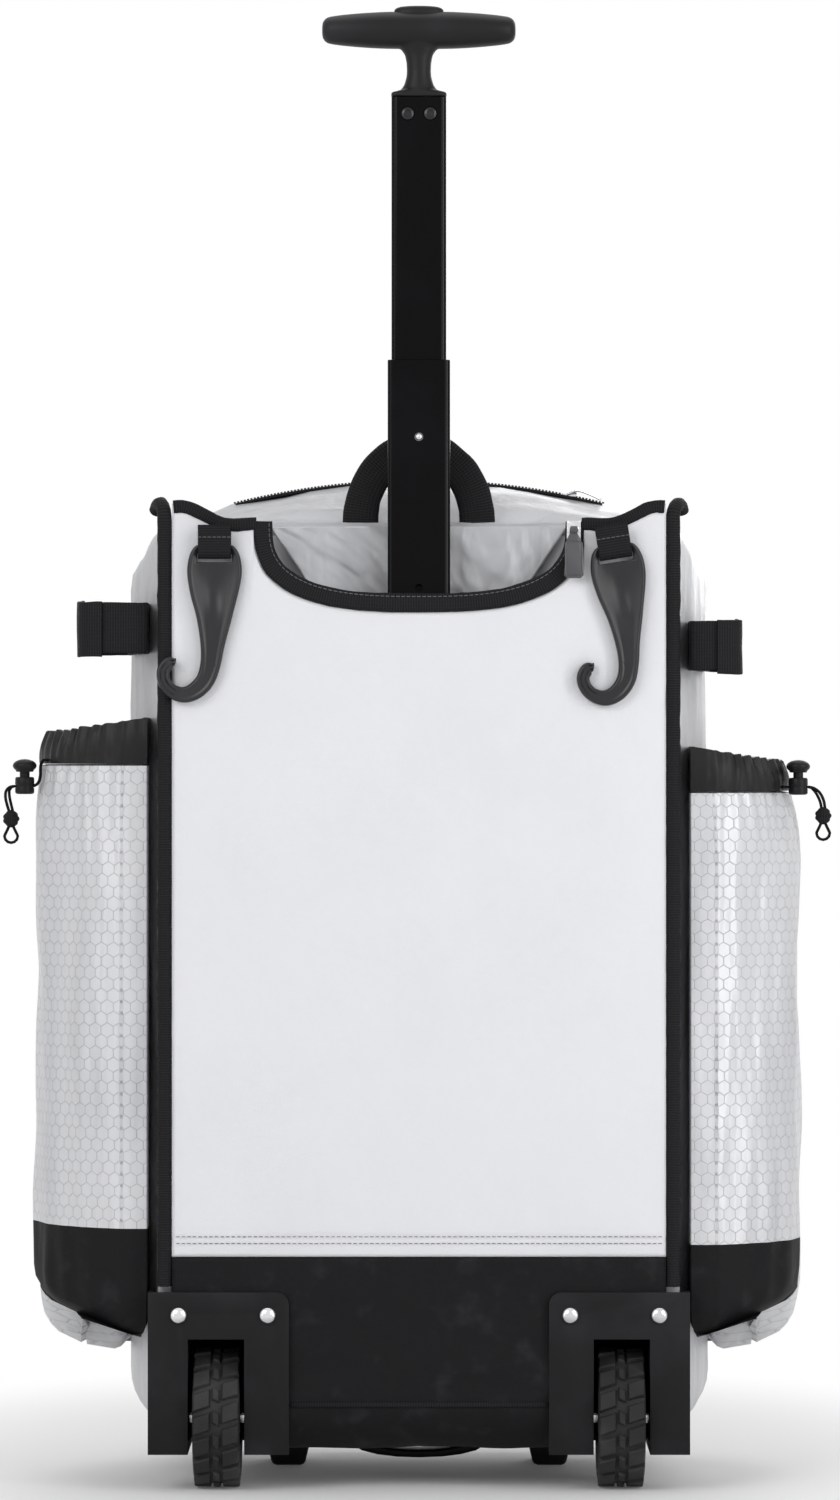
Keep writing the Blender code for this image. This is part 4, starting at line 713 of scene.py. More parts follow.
def row_of(path, pitch, facing):
    """Places and turns along a line, each turned so that its X runs along and its Z faces outwards."""
    path = even_path(path, pitch)
    spots = []
    for i, point in enumerate(path):
        along = (path[min(i + 1, len(path) - 1)] - path[max(i - 1, 0)]).normalized()
        up = Vector(facing(point) if callable(facing) else facing).normalized()
        side = up.cross(along).normalized()
        up = along.cross(side)
        turn_matrix = Matrix((along, side, up)).transposed()
        spots.append((point, tuple(turn_matrix.to_euler())))
    return spots


stitch_loops = [
    [(x, r * math.cos(TURN * i / 6), r * 0.8 * math.sin(TURN * i / 6)) for i in range(6)]
    for x, r in ((-0.0013, 0.00012), (-0.0009, 0.00026), (0.0009, 0.00026), (0.0013, 0.00012))
]
stitch_stamp = stamp_from("stitch_stamp", *skin(stitch_loops))
print("trees ready")

# %% [markdown]
# ## The back panel and its bindings
# The panel is one piece of coated cloth, pulled taut and a little puffed between two black pipings. Its
# top is cut away in a U for the trolley's pocket. A grid whose columns end on that U is the simplest
# mesh that keeps the cloth's rows level, so the folds and the hem stay true.

# %% Back panel
PANEL_HALF, PANEL_BOTTOM, PANEL_TOP, EAR_TOP = 0.1614, 0.154, 0.635, 0.646
MOUTH_HALF, MOUTH_DEPTH, MOUTH_TOP, MOUTH_POWER = 0.108, 0.057, 0.632, 2.8


def mouth_curve(shrink, steps=72):
    """The U of the pocket mouth from right to left, as (x, z)."""
    points = []
    for i in range(steps + 1):
        c, s = math.cos(math.pi * i / steps), math.sin(math.pi * i / steps)
        x = (MOUTH_HALF - shrink) * math.copysign(abs(c) ** (2 / MOUTH_POWER), c)
        points.append((x, MOUTH_TOP - (MOUTH_DEPTH - shrink) * s ** (2 / MOUTH_POWER)))
    return points


def panel_top(x):
    x = abs(x)
    if x < MOUTH_HALF:
        return MOUTH_TOP - MOUTH_DEPTH * (1 - (x / MOUTH_HALF) ** MOUTH_POWER) ** (1 / MOUTH_POWER)
    shoulder = PANEL_HALF - 0.034
    share = min(max((x - shoulder) / 0.024, 0.0), 1.0)
    return PANEL_TOP + (EAR_TOP - PANEL_TOP) * share


def edge_fade(distance, reach):
    return 1.0 - math.exp(-max(distance, 0.0) / reach)


columns = sorted({round(s * x, 5) for s in (-1, 1) for x in (
    *(PANEL_HALF * i / 60 for i in range(61)), *(p[0] for p in mouth_curve(0.0) if p[0] > 0.09))})
ROWS = 170
points = []
for r in range(ROWS + 1):
    for x in columns:
        top = panel_top(x)
        z = PANEL_BOTTOM + (top - PANEL_BOTTOM) * r / ROWS
        inside = min(PANEL_HALF - abs(x), z - PANEL_BOTTOM, top - z)
        puff = 0.0018 * edge_fade(inside, 0.012)
        slack = noise.fractal(Vector((x * 11, z * 7, 3.0)), 1.0, 2.0, 3) * 0.0012 * edge_fade(inside, 0.02)
        hem = 0.0007 * math.exp(-(((z - PANEL_BOTTOM - 0.0125) / 0.0012) ** 2))
        points.append((x, at_depth(0.0004 - puff - slack + hem), z))
back_panel = make_piece("back_panel_cloth", points, sheet_faces(ROWS + 1, len(columns)), panel_cloth)
thickened(back_panel, 0.0022, -1.0 if back_panel.data.polygons[0].normal.y < 0 else 1.0)
fit(back_panel, "bag", "silver_cloth", "back_panel")
print("back panel", len(back_panel.data.polygons), "faces")

# %% Hem stitches
spots = []
for height in (0.0088, 0.0132):
    line = [(x, at_depth(-0.0016), PANEL_BOTTOM + height) for x in (-PANEL_HALF + 0.004, PANEL_HALF - 0.004)]
    spots += row_of(line, 0.0036, (0, -1, 0))
hem_stitches = copies_at("hem_stitches", spots, stitch_stamp, thread)
fit(hem_stitches, "bag", "black_tape")
print(len(spots), "hem stitches")

# %% Binding of the mouth and piping
binding_path = [(x, at_depth(0.0006), z) for x, z in mouth_curve(0.0062)]
binding_path = [(binding_path[0][0], at_depth(0.0006), 0.6345), *binding_path,
    (binding_path[-1][0], at_depth(0.0006), 0.6345)]
binding = sweep("mouth_binding", binding_path, rounded_rectangle(0.0026, 0.0062, 0.0024, 4, straight=4),
                webbing, across=(0, 1, 0))
crumple(binding, 0.0005, 0.012)
fit(binding, "bag", "black_tape", "handle_pocket_zip")
spots = row_of([(x, at_depth(-0.0022), z) for x, z in mouth_curve(0.0102)], 0.0034, (0, -1, 0))
mouth_stitches = copies_at("mouth_stitches", spots, stitch_stamp, thread)
fit(mouth_stitches, "bag", "black_tape")

for side, sign in SIDES.items():
    px, py = sign * (PANEL_HALF + 0.0048), at_depth(0.0025)
    bend = [(px + sign * 0.0035 * (1 - math.cos(a)), py + 0.010 * (1 - math.cos(a)),
        EAR_TOP - 0.010 + 0.010 * math.sin(a))
            for a in (math.pi * 0.80 * i / 18 for i in range(19))]
    path = even_path([(px, py, 0.1345), *bend], 0.004)
    piping = sweep(f"piping_cord_{side}", path,
        [(0.0047 * math.cos(a), 0.0047 * math.sin(a)) for a in (TURN * i / 16 for i in range(16))],
                   webbing, across=(1, 0, 0))
    crumple(piping, 0.0005, 0.010, seed=sign)
    fit(piping, "bag", "black_tape", f"piping_{side}")
    ear = [(sign * x, at_depth(-0.0004), z) for x, z in (
        (PANEL_HALF - 0.001, EAR_TOP - 0.0022), (PANEL_HALF - 0.011, EAR_TOP - 0.0026),
            (PANEL_HALF - 0.034, PANEL_TOP - 0.0022),
        (MOUTH_HALF - 0.002, PANEL_TOP - 0.0022))]
    tape = sweep(f"ear_tape_{side}", smooth_path(ear, 0.003),
        rounded_rectangle(0.0020, 0.0042, 0.0018, 3, straight=3),
                 webbing, across=(0, 1, 0))
    crumple(tape, 0.0005, 0.008, seed=sign)
    fit(tape, "bag", "black_tape")

# %% [markdown]
# ## The shell, its lining and the front door
# The body of the bag is a padded cloth box with a domed top, open behind the front door. It is a skin
# over rounded sections, read smoothly between the frame's own stations, then wrinkled. The inside is
# part of the same skin, because it shows when the door swings down.

# %% Shell
STATIONS = (
    (0.0073, 0.1705, 0.6347, 0.0465, 0.010, 0.022), (0.028, 0.1720, 0.6347, 0.0315, 0.012, 0.024),
    (0.044, 0.1775, 0.6347, 0.0295, 0.020, 0.028), (0.060, 0.1825, 0.6440, 0.0295, 0.036, 0.032),
    (0.090, 0.1900, 0.6550, 0.0295, 0.055, 0.038), (0.120, 0.1940, 0.6605, 0.0295, 0.068, 0.040),
    (0.160, 0.1945, 0.6615, 0.0295, 0.074, 0.040), (0.200, 0.1890, 0.6560, 0.0295, 0.070, 0.040),
    (0.228, 0.1780, 0.6420, 0.0330, 0.060, 0.038), (0.240, 0.1680, 0.6300, 0.0400, 0.052, 0.034),
)
WALL = 0.0085


def station_at(depth):
    for low, high in zip(STATIONS, STATIONS[1:]):
        if depth <= high[0]:
            share = max((depth - low[0]) / (high[0] - low[0]), 0.0)
            return [a + (b - a) * share for a, b in zip(low, high)]
    return list(STATIONS[-1])


def shell_section(depth, shrink, read_depth):
    _, half, top, bottom, r_top, r_bottom = station_at(read_depth)
    half, top, bottom = half - shrink, top - shrink, bottom + shrink
    r_top, r_bottom = max(r_top - shrink, 0.001), max(r_bottom - shrink, 0.001)
    points = []
    for quarter, (sx, radius) in enumerate(((1, r_top), (-1, r_top), (-1, r_bottom), (1, r_bottom))):
        cz = top - radius if quarter < 2 else bottom + radius
        for step in range(9):
            a = math.pi / 2 * (quarter + step / 8)
            points.append((sx * (half - radius) + radius * math.cos(a), cz + radius * math.sin(a)))
    return [(x, at_depth(depth), z) for x, z in between(points, 9, 14)]


def crown(point):
    """The dome is highest in the middle and falls away to both sides."""
    x, y, z = point
    rise = min(max((z - 0.60) / 0.04, 0.0), 1.0) * min(max((y - at_depth(0.046)) / 0.035, 0.0), 1.0)
    fade = min(max((at_depth(0.236) - y) / 0.03, 0.0), 1.0)
    return (x, y, z + (0.0040 - 0.017 * min(abs(x) / 0.13, 1.15) ** 2) * rise * fade)


def opening_section(depth, half, bottom, top, radius):
    outline = rounded_rectangle(half, (top - bottom) / 2, radius, 8, (0.0, (top + bottom) / 2), 14)
    return [(x, at_depth(depth), z) for x, z in outline]


OPENING = (0.143, 0.168, 0.598, 0.040)
outer_depths = [0.0073 + (0.240 - 0.0073) * i / 44 for i in range(45)]
inner_depths = [0.040 + (0.236 - 0.040) * i / 24 for i in range(25)]
loops = [shell_section(0.036, WALL, 0.036), shell_section(0.0073, WALL, 0.0073),
         *([crown(p) for p in shell_section(d, 0.0, d)] for d in outer_depths),
         opening_section(0.240, *OPENING), opening_section(0.236, *OPENING),
         *([crown(p) for p in shell_section(d, WALL, 0.240 if i == 0 else d)] for i,
         d in enumerate(reversed(inner_depths)))]
points, faces = skin(loops)
shell = make_piece("bag_shell_cloth", points, faces, [shell_cloth, lining])
crumple(shell, 0.0030, 0.055, stretch=(1, 1, 0.6),
        keep=lambda p: edge_fade(p.y - at_depth(0.010), 0.03) * edge_fade(at_depth(0.238) - p.y, 0.01)
        * edge_fade(p.z - 0.033, 0.03))
section_size = len(loops[0])
first_inner = 2 + len(outer_depths) + 1
for face in shell.data.polygons:
    face.material_index = 1 if min(face.vertices) // section_size >= first_inner else 0
well_arc = [(at_depth(0.032) + 0.0585 * math.sin(a),
    0.046 + 0.0585 * math.cos(a)) for a in (math.pi / 2 * i / 12 for i in range(13))]
well = [(at_depth(-0.02), 0.01), (at_depth(-0.02), 0.1045), *well_arc, (well_arc[-1][0] - 0.008, 0.01)]
cut(shell, [(well, "X", sign * 0.1325 - 0.0265, sign * 0.1325 + 0.0265) for sign in (-1, 1)]
    + [([(-MOUTH_HALF - 0.001, 0.574), (MOUTH_HALF + 0.001, 0.574), (MOUTH_HALF + 0.001, 0.68),
        (-MOUTH_HALF - 0.001, 0.68)],
        "Y", at_depth(-0.01), at_depth(0.0357))])
fit(shell, "bag", "silver_cloth", "bag_shell")
print("shell", len(shell.data.polygons), "faces")

# %% Front door with its pocket
DOOR_BACK = 0.2403
DOOR = (0.155, 0.1525, 0.610, 0.046)
POCKET = (0.130, 0.195, 0.450, 0.030)


def smaller(shape, by):
    half, bottom, top, radius = shape
    return (half - by, bottom + by, top - by, max(radius - by, 0.004))


rows = [(DOOR_BACK + 0.0012, smaller(DOOR, 0.13)), (DOOR_BACK, smaller(DOOR, 0.012)), (DOOR_BACK, DOOR),
        (DOOR_BACK + 0.0036, smaller(DOOR, 0.001)), (DOOR_BACK + 0.0044, smaller(DOOR, 0.004))]
rows += [(DOOR_BACK + 0.0040, smaller(POCKET, -0.004)), (DOOR_BACK + 0.0048, POCKET)]
rows += [(DOOR_BACK + 0.0048 + 0.0165 * math.sin(math.pi / 2 * i / 6),
    smaller(POCKET, 0.016 * (1 - math.cos(math.pi / 2 * i / 6))))
         for i in range(1, 7)]
rows += [(DOOR_BACK + 0.0213, smaller(POCKET, 0.016 + 0.104 * i / 8)) for i in range(1, 9)]
points, faces = skin([opening_section(depth, *shape) for depth, shape in rows])
door = make_piece("front_door_cloth", points, faces, shell_cloth)
crumple(door, 0.0016, 0.045, keep=lambda p: edge_fade(p.y - at_depth(DOOR_BACK + 0.002), 0.004))
fit(door, "door", "silver_cloth", "front_door")

door_edge = [Vector(p) for p in opening_section(DOOR_BACK + 0.0030, *smaller(DOOR, 0.0030))]
door_piping = sweep("door_piping", even_path([*door_edge, door_edge[0]], 0.005)[:-1],
                    [(0.0030 * math.cos(a), 0.0030 * math.sin(a)) for a in (TURN * i / 12 for i in range(12))],
                    webbing, across=(0, 1, 0), closed=True)
fit(door_piping, "door", "black_tape")
pocket_zip = [(x, at_depth(DOOR_BACK + 0.0216), 0.420) for x in (-0.098, 0.098)]
zip_tape = sweep("pocket_zip_tape", even_path(pocket_zip, 0.006), strip_section(0.0110, 0.0006), webbing,
    across=(0, 0, 1))
fit(zip_tape, "door", "black_tape")

# %% Zip teeth
tooth_loops = [[(x, y, z) for x, y in rounded_rectangle(0.00075, 0.0020, 0.0005, 2)] for z in (0.0, 0.0010)]
tooth_stamp = stamp_from("tooth_stamp", *skin(tooth_loops))
spots = row_of([(x, y + 0.0006, z) for x, y, z in pocket_zip], 0.0022, (0, 1, 0))
pocket_teeth = copies_at("pocket_zip_teeth", spots, tooth_stamp, dark_steel)
fit(pocket_teeth, "door", "bright_steel")

ZIP_DEPTH = 0.125
arch = []
for i in range(61):
    _, half, top, bottom, r_top, _ = station_at(ZIP_DEPTH)
    share = i / 60
    flat, arc, drop = 2 * (half - r_top), math.pi / 2 * r_top, 0.030
    run = share * (flat + 2 * arc + 2 * drop)
    if run < drop:
        arch.append((-half, top - r_top - drop + run))
    elif run < drop + arc:
        a = (run - drop) / r_top
        arch.append((-half + r_top - r_top * math.cos(a), top - r_top + r_top * math.sin(a)))
    elif run < drop + arc + flat:
        arch.append((-half + r_top + run - drop - arc, top))
    elif run < drop + 2 * arc + flat:
        a = (run - drop - arc - flat) / r_top
        arch.append((half - r_top + r_top * math.sin(a), top - r_top + r_top * math.cos(a)))
    else:
        arch.append((half, top - r_top - (run - drop - 2 * arc - flat)))
arch = [(x, z) for x, z in arch if abs(x) < 0.127]
main_zip = [Vector(crown((x * 1.002, at_depth(ZIP_DEPTH), z + 0.0004))) for x, z in arch]
zip_strip = sweep("main_zip_tape", even_path(main_zip, 0.004), strip_section(0.0090, 0.0011), webbing,
    across=(0, 1, 0))
fit(zip_strip, "bag", "black_tape")
spots = row_of([(p.x * 1.006, p.y, p.z + 0.0012) for p in main_zip], 0.0023,
    lambda p: (p.x, 0, max(p.z - 0.45, 0.02)))
main_teeth = copies_at("main_zip_teeth", spots, tooth_stamp, dark_steel)
fit(main_teeth, "bag", "bright_steel")

# %% [markdown]
# ## The black base
# A tougher black cloth covers the bottom of the back, turns under the bag in one bend and runs forward
# to the feet. It is a strip with one profile, pierced by the two wheel wells.

# %% Lower back panel
BEND, UNDERSIDE = 0.032, 0.0262
profile = [(at_depth(0.0), 0.1537 - (0.1537 - UNDERSIDE - BEND) * i / 30) for i in range(30)]
profile += [(at_depth(BEND) - BEND * math.cos(a),
    UNDERSIDE + BEND - BEND * math.sin(a)) for a in (math.pi / 2 * i / 16 for i in range(17))]
profile += [(at_depth(BEND + (0.205 - BEND) * i / 26), UNDERSIDE) for i in range(1, 27)]
WIDE = 80
points = [(PANEL_HALF * (2 * c / WIDE - 1), y, z) for y, z in profile for c in range(WIDE + 1)]
lower = make_piece("lower_back_cloth", points, sheet_faces(len(profile), WIDE + 1), black_cloth)
crumple(lower, 0.0012, 0.05, keep=lambda p: edge_fade(PANEL_HALF - abs(p.x), 0.01) * edge_fade(0.153 - p.z, 0.01))
first = lower.data.polygons[0].normal
thickened(lower, 0.0024, -1.0 if first.y < 0 else 1.0)
well_cut = [(at_depth(-0.02), 0.01), (at_depth(-0.02), 0.1038), *((y, z - 0.0006) for y, z in well_arc),
    (well_arc[-1][0] - 0.008, 0.01)]
cut(lower, [(well_cut, "X", sign * 0.1325 - 0.0219, sign * 0.1325 + 0.0219) for sign in (-1, 1)])
fit(lower, "bag", "black_cloth", "lower_back_panel")
seam = sweep("base_seam",
    [(-PANEL_HALF, at_depth(-0.0006), 0.0575), (0, at_depth(-0.0010), 0.0575),
        (PANEL_HALF, at_depth(-0.0006), 0.0575)],
             rounded_rectangle(0.0016, 0.0007, 0.0006, 2, straight=2), webbing)
cut(seam, [([(s * 0.1325 - 0.0212, 0.04), (s * 0.1325 + 0.0212, 0.04), (s * 0.1325 + 0.0212, 0.07),
    (s * 0.1325 - 0.0212, 0.07)],
            "Y", at_depth(-0.01), at_depth(0.01)) for s in (-1, 1)])
fit(seam, "bag", "black_tape")

# %% [markdown]
# ## Side sleeves
# Each sleeve is an open cloth tube for stick shafts, hung on the bag's side. Its cloth has a pressed
# honeycomb and falls in upright folds under a gathered black collar. The lower back of it is black,
# the rest silver. The folds grow towards the collar, which is where a drawcord really makes them.

# %% Sleeves
SLEEVE_OUTLINE = ((0.0105, 0.1960), (0.0230, 0.2205), (0.0400, 0.2390), (0.0620, 0.2510), (0.0900, 0.2560),
                  (0.1200, 0.2550), (0.1500, 0.2460), (0.1780, 0.2280), (0.1960, 0.2070))
SLEEVE_TOP = {"left": 0.4755, "right": 0.4575}
SLEEVE_GATHER = {"left": 0.003, "right": 0.009}
BAND_TOP = {"left": 0.1715, "right": 0.1610}
WIDEST = 0.2560


def beside_bag(depth):
    return max(station_at(depth)[1], 0.1770) + 0.0006


def sleeve_ring():
    """(half width, y) all round the sleeve, evenly spaced, with the way round as an angle-free length."""
    outer = smooth_path([(half, at_depth(depth), 0.0) for depth, half in SLEEVE_OUTLINE], 0.002)
    inner = [(beside_bag(d), at_depth(d), 0.0) for d in (0.199, 0.18, 0.16, 0.14, 0.12, 0.10, 0.08, 0.06, 0.044,
        0.028, 0.0105)]
    return even_path([*outer, *(Vector(p) for p in inner), outer[0]], 0.0022)[:-1]


ring = sleeve_ring()


def across_sleeve(half, y):
    inner = beside_bag(y - BACK_FACE_Y)
    return max(half - inner, 0.0) / (WIDEST - inner)


def sleeve_underside(half, y):
    across = across_sleeve(half, y)
    slanted = 0.0970 + (0.1246 - 0.0970) * across
    bulged = 0.0800 + 0.02 * across**2
    share = min(max((y - at_depth(0.090)) / 0.040, 0.0), 1.0)
    return slanted + (bulged - slanted) * share * share * (3 - 2 * share)


def ring_inset(points, distance):
    moved = []
    for i, point in enumerate(points):
        along = (points[(i + 2) % len(points)] - points[i - 2]).normalized()
        moved.append(point + Vector((-along.y, along.x, 0.0)) * distance)
    return moved


RING_WAY = 1.0 if sum(a.x * b.y - b.x * a.y for a, b in zip(ring, ring[1:] + ring[:1])) > 0 else -1.0


def fold(run, z, across, seed, top):
    """How far the cloth stands out from its rest line: long upright folds, more below the collar."""
    rise = min(max((z - (top - 0.085)) / 0.085, 0.0), 1.0)
    long_fold = noise.fractal(Vector((run / 0.030, z / 0.20, seed)), 1.0, 2.0, 2) * 0.0048
    dent = noise.noise(Vector((run / 0.05, z / 0.06, seed + 9))) * 0.0022
    gather = math.sin(run / 0.0021 + 2 * noise.noise(Vector((run / 0.02, z / 0.05, seed)))) * 0.0012 * rise**2
    return (long_fold + dent + gather - 0.0016) * min(across * 1.6, 1.0)


for side, sign in SIDES.items():
    top = SLEEVE_TOP[side]
    runs = [0.0]
    for a, b in zip(ring, ring[1:]):
        runs.append(runs[-1] + (b - a).length)
    loops, uv = [], []

    def add_level(points, heights, wrinkled=True):
        loop = []
        for i, point in enumerate(points):
            z = heights(point) if callable(heights) else heights
            across = across_sleeve(point.x, point.y)
            out = max(fold(runs[i], z, across, sign * 3.0, top), -0.0034) if wrinkled else 0.0
            along = (ring[(i + 1) % len(ring)] - ring[i - 1]).normalized()
            spot = point + Vector((along.y, -along.x, 0.0)) * (RING_WAY * out)
            half = max(spot.x, beside_bag(spot.y - BACK_FACE_Y) + 0.0002)
            loop.append((sign * half, spot.y, z))
            uv.append((runs[i], z))
        loops.append(loop)

    flat_middle = (SLEEVE_OUTLINE[0][1] + WIDEST) / 2
    flat = [Vector((flat_middle + (p.x - flat_middle) * 0.12, p.y, 0)) for p in ring_inset(ring, RING_WAY * 0.012)]
    add_level(flat, lambda p: sleeve_underside(p.x, p.y), False)
    for step, (shrink,
        rise) in enumerate(((0.0105, 0.0008), (0.0062, 0.0028), (0.0030, 0.0062), (0.0010, 0.0110), (0.0, 0.018))):
        inset_ring = ring_inset(ring, RING_WAY * shrink)
        add_level(inset_ring, lambda p, rise=rise: sleeve_underside(p.x, p.y) + rise, step > 2)
    for i in range(1, 90):
        gathered = []
        for p in ring:
            start = sleeve_underside(p.x, p.y) + 0.018
            seam_z = BAND_TOP[side]
            z = start + (seam_z - start) * i / 14 if i <= 14 else seam_z + (top - seam_z) * (i - 14) / 76
            pull = SLEEVE_GATHER[side] * min(max((z - top + 0.05) / 0.05, 0), 1) ** 1.5
            gathered.append((p - Vector((pull * across_sleeve(p.x, p.y), 0, 0)), z))
        heights = iter([z for _, z in gathered])
        add_level([p for p, _ in gathered], lambda p: next(heights))
    rim = [p - Vector((SLEEVE_GATHER[side] * across_sleeve(p.x, p.y), 0, 0)) for p in ring]
    add_level(rim, top - 0.0008)
    for z in (top, top - 0.05, 0.30, 0.155):
        add_level(ring_inset(rim if z > top - 0.01 else ring, RING_WAY * (0.0042 if z > top - 0.01 else 0.0062)), z,
            False)
    points, faces = skin(loops)
    sleeve = make_piece(f"sleeve_cloth_{side}", points, faces, [sleeve_cloth, black_cloth, lining], uv)
    inner_start = len(loops) - 4
    count = len(ring)
    for face in sleeve.data.polygons:
        lowest_loop = min(v // count for v in face.vertices)
        if lowest_loop >= inner_start - 1 and len(face.vertices) > 3:
            face.material_index = 2
        elif face.center.z < BAND_TOP[side] and face.center.y < at_depth(0.088):
            face.material_index = 1
        elif face.center.z < BAND_TOP[side] and face.center.y < at_depth(0.100) and abs(face.center.x) > 0.2:
            face.material_index = 1
    fit(sleeve, "bag", "silver_cloth", f"sleeve_{side}")

    # The gathered collar: closely rippled, a little swollen, with an uneven top edge.
    loops, uv = [], []
    COLLAR = {"left": 0.028, "right": 0.027}[side]
    for inward, shares in ((0.0, [i / 14 for i in range(15)]), (0.0030, [1 - i / 6 for i in range(7)])):
        for share in shares:
            loop = []
            for i, p in enumerate(ring):
                across = across_sleeve(p.x, p.y)
                pull = (SLEEVE_GATHER[side] + 0.005 * share) * across
                rise = top + COLLAR - 0.13 * (p.x - SLEEVE_OUTLINE[0][1])
                swell = 0.0018 * math.sin(math.pi * share)
                wave = math.sin(runs[i] / 0.00165 + 3.0 * noise.noise(Vector((runs[i] / 0.018, share * 0.6,
                    sign * 5.0))))
                ripple = wave * 0.0012 * (0.35 + 0.65 * share) * min(across * 2, 1)
                along = (ring[(i + 1) % count] - ring[i - 1]).normalized()
                spot = p + Vector((along.y, -along.x, 0)) * (RING_WAY * (swell + ripple - inward)) - Vector((pull,
                    0, 0))
                z = top + 0.0004 + (rise - top) * share + (0.0011 * wave + 0.0016 * noise.noise(Vector((runs[i] / 0.02, 2.0, sign)))) * share * across
                half = max(spot.x, beside_bag(spot.y - BACK_FACE_Y) + 0.0003)
                loop.append((sign * half, spot.y, z))
                uv.append((runs[i], share * COLLAR))
            loops.append(loop)
    points, faces = skin(loops, ring=True)
    collar = make_piece(f"sleeve_collar_cloth_{side}", points, faces, collar_cloth, uv)
    fit(collar, "bag", "black_cloth", f"sleeve_collar_{side}")
    print(side, "sleeve", len(sleeve.data.polygons), "faces")

# %% [markdown]
# ## Drawcords
# Each collar is closed by a thin round cord: out of the collar, through a spring lock, round below a
# knot and back the same way. It is a free cord; its length is printed, and it lies on
# the same route as the frame's own solid.

# %% Drawcords, knots and cord locks
CORD_DEPTH, CORD_RADIUS, CORD_SPREAD, LOOP_RADIUS, KNOT_HALF = 0.055, 0.001, 0.0013, 0.0044, 0.0040
LOCK_HOLE = {"left": (0.2610, 0.4610), "right": (0.2511, 0.4605)}
KNOT = {"left": (0.0090, -0.0215), "right": (0.0165, -0.0190)}
FROM_COLLAR = {
    "left": ((-0.0122, 0.0172), (-0.0106, 0.0135), (-0.0104, 0.0075), (-0.0093, 0.0028), (-0.0063, 0.0003)),
    "right": ((-0.0064, 0.0),),
}
OUTER_STRAND = {
    "left": ((0.0070, 0.0), (0.0102, -0.0008), (0.0124, -0.0034), (0.0126, -0.0080), (0.0113, -0.0135)),
    "right": ((0.0070, 0.0), (0.0108, -0.0010), (0.0139, -0.0034), (0.0160, -0.0068), (0.0172, -0.0105)),
}
INNER_STRAND = {
    "left": ((0.0070, 0.0), (0.0088, -0.0006), (0.0102, -0.0026), (0.0101, -0.0070), (0.0088, -0.0130)),
    "right": ((0.0070, 0.0), (0.0095, -0.0012), (0.0118, -0.0040), (0.0138, -0.0078), (0.0150, -0.0115)),
}
CORD_START = {}
for side, sign in SIDES.items():
    low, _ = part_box(f"drawcord_{side}")
    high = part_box(f"drawcord_{side}")[1]
    CORD_START[side] = (min(abs(low.x), abs(high.x)) + 0.0006) - LOCK_HOLE[side][0]


def cord_route(side):
    lead = FROM_COLLAR[side]
    start = (CORD_START[side], lead[0][1])
    knot_u, knot_w = KNOT[side]
    gap, below = CORD_SPREAD - 0.0001, KNOT[side][1] - KNOT_HALF
    down = [(u, -CORD_SPREAD, w) for u, w in (start, *lead, (0.0, 0.0))]
    down += [(u, -CORD_SPREAD * (1 - i / 6), w) for i, (u, w) in enumerate(OUTER_STRAND[side])]
    loop = [(knot_u + LOOP_RADIUS * math.sin(a), 0.0, below - 0.0075 + LOOP_RADIUS * math.cos(a))
            for a in (math.pi * (0.5 + i / 6) for i in range(7))]
    through = [(knot_u + gap, 0.0, knot_w + KNOT_HALF), (knot_u + gap, 0.0, below)]
    back = [(knot_u - gap, 0.0, below), (knot_u - gap, 0.0, knot_w + KNOT_HALF)]
    up = [(u, CORD_SPREAD * (1 - i / 6), w) for i, (u, w) in enumerate(INNER_STRAND[side])]
    up = up[::-1] + [(u, CORD_SPREAD, w) for u, w in ((0.0, 0.0), *lead[::-1], start)]
    return down + through + loop + back + up


def lobed(name, centre, radius, half_height, lobes, finish):
    """A tied knot seen as a few fat turns, one above the other, round the cord."""
    loops = []
    for i in range(33):
        share = i / 32
        z = half_height * (2 * share - 1)
        envelope = math.sin(math.pi * min(max(share, 0.02), 0.98)) ** 0.5
        loop = []
        for k in range(28):
            a = TURN * k / 28
            lobe = 0.86 + 0.14 * abs(math.sin(math.pi * lobes * share + a * 0.5))
            r = radius * envelope * lobe
            loop.append(Vector(centre) + Vector((r * math.cos(a), r * math.sin(a) * 0.9, z)))
        loops.append(loop)
    points, faces = skin(loops)
    return make_piece(name, points, faces, finish,
        [(i % 28 * 0.0012, i // 28 * 0.0004) for i in range(len(points))])


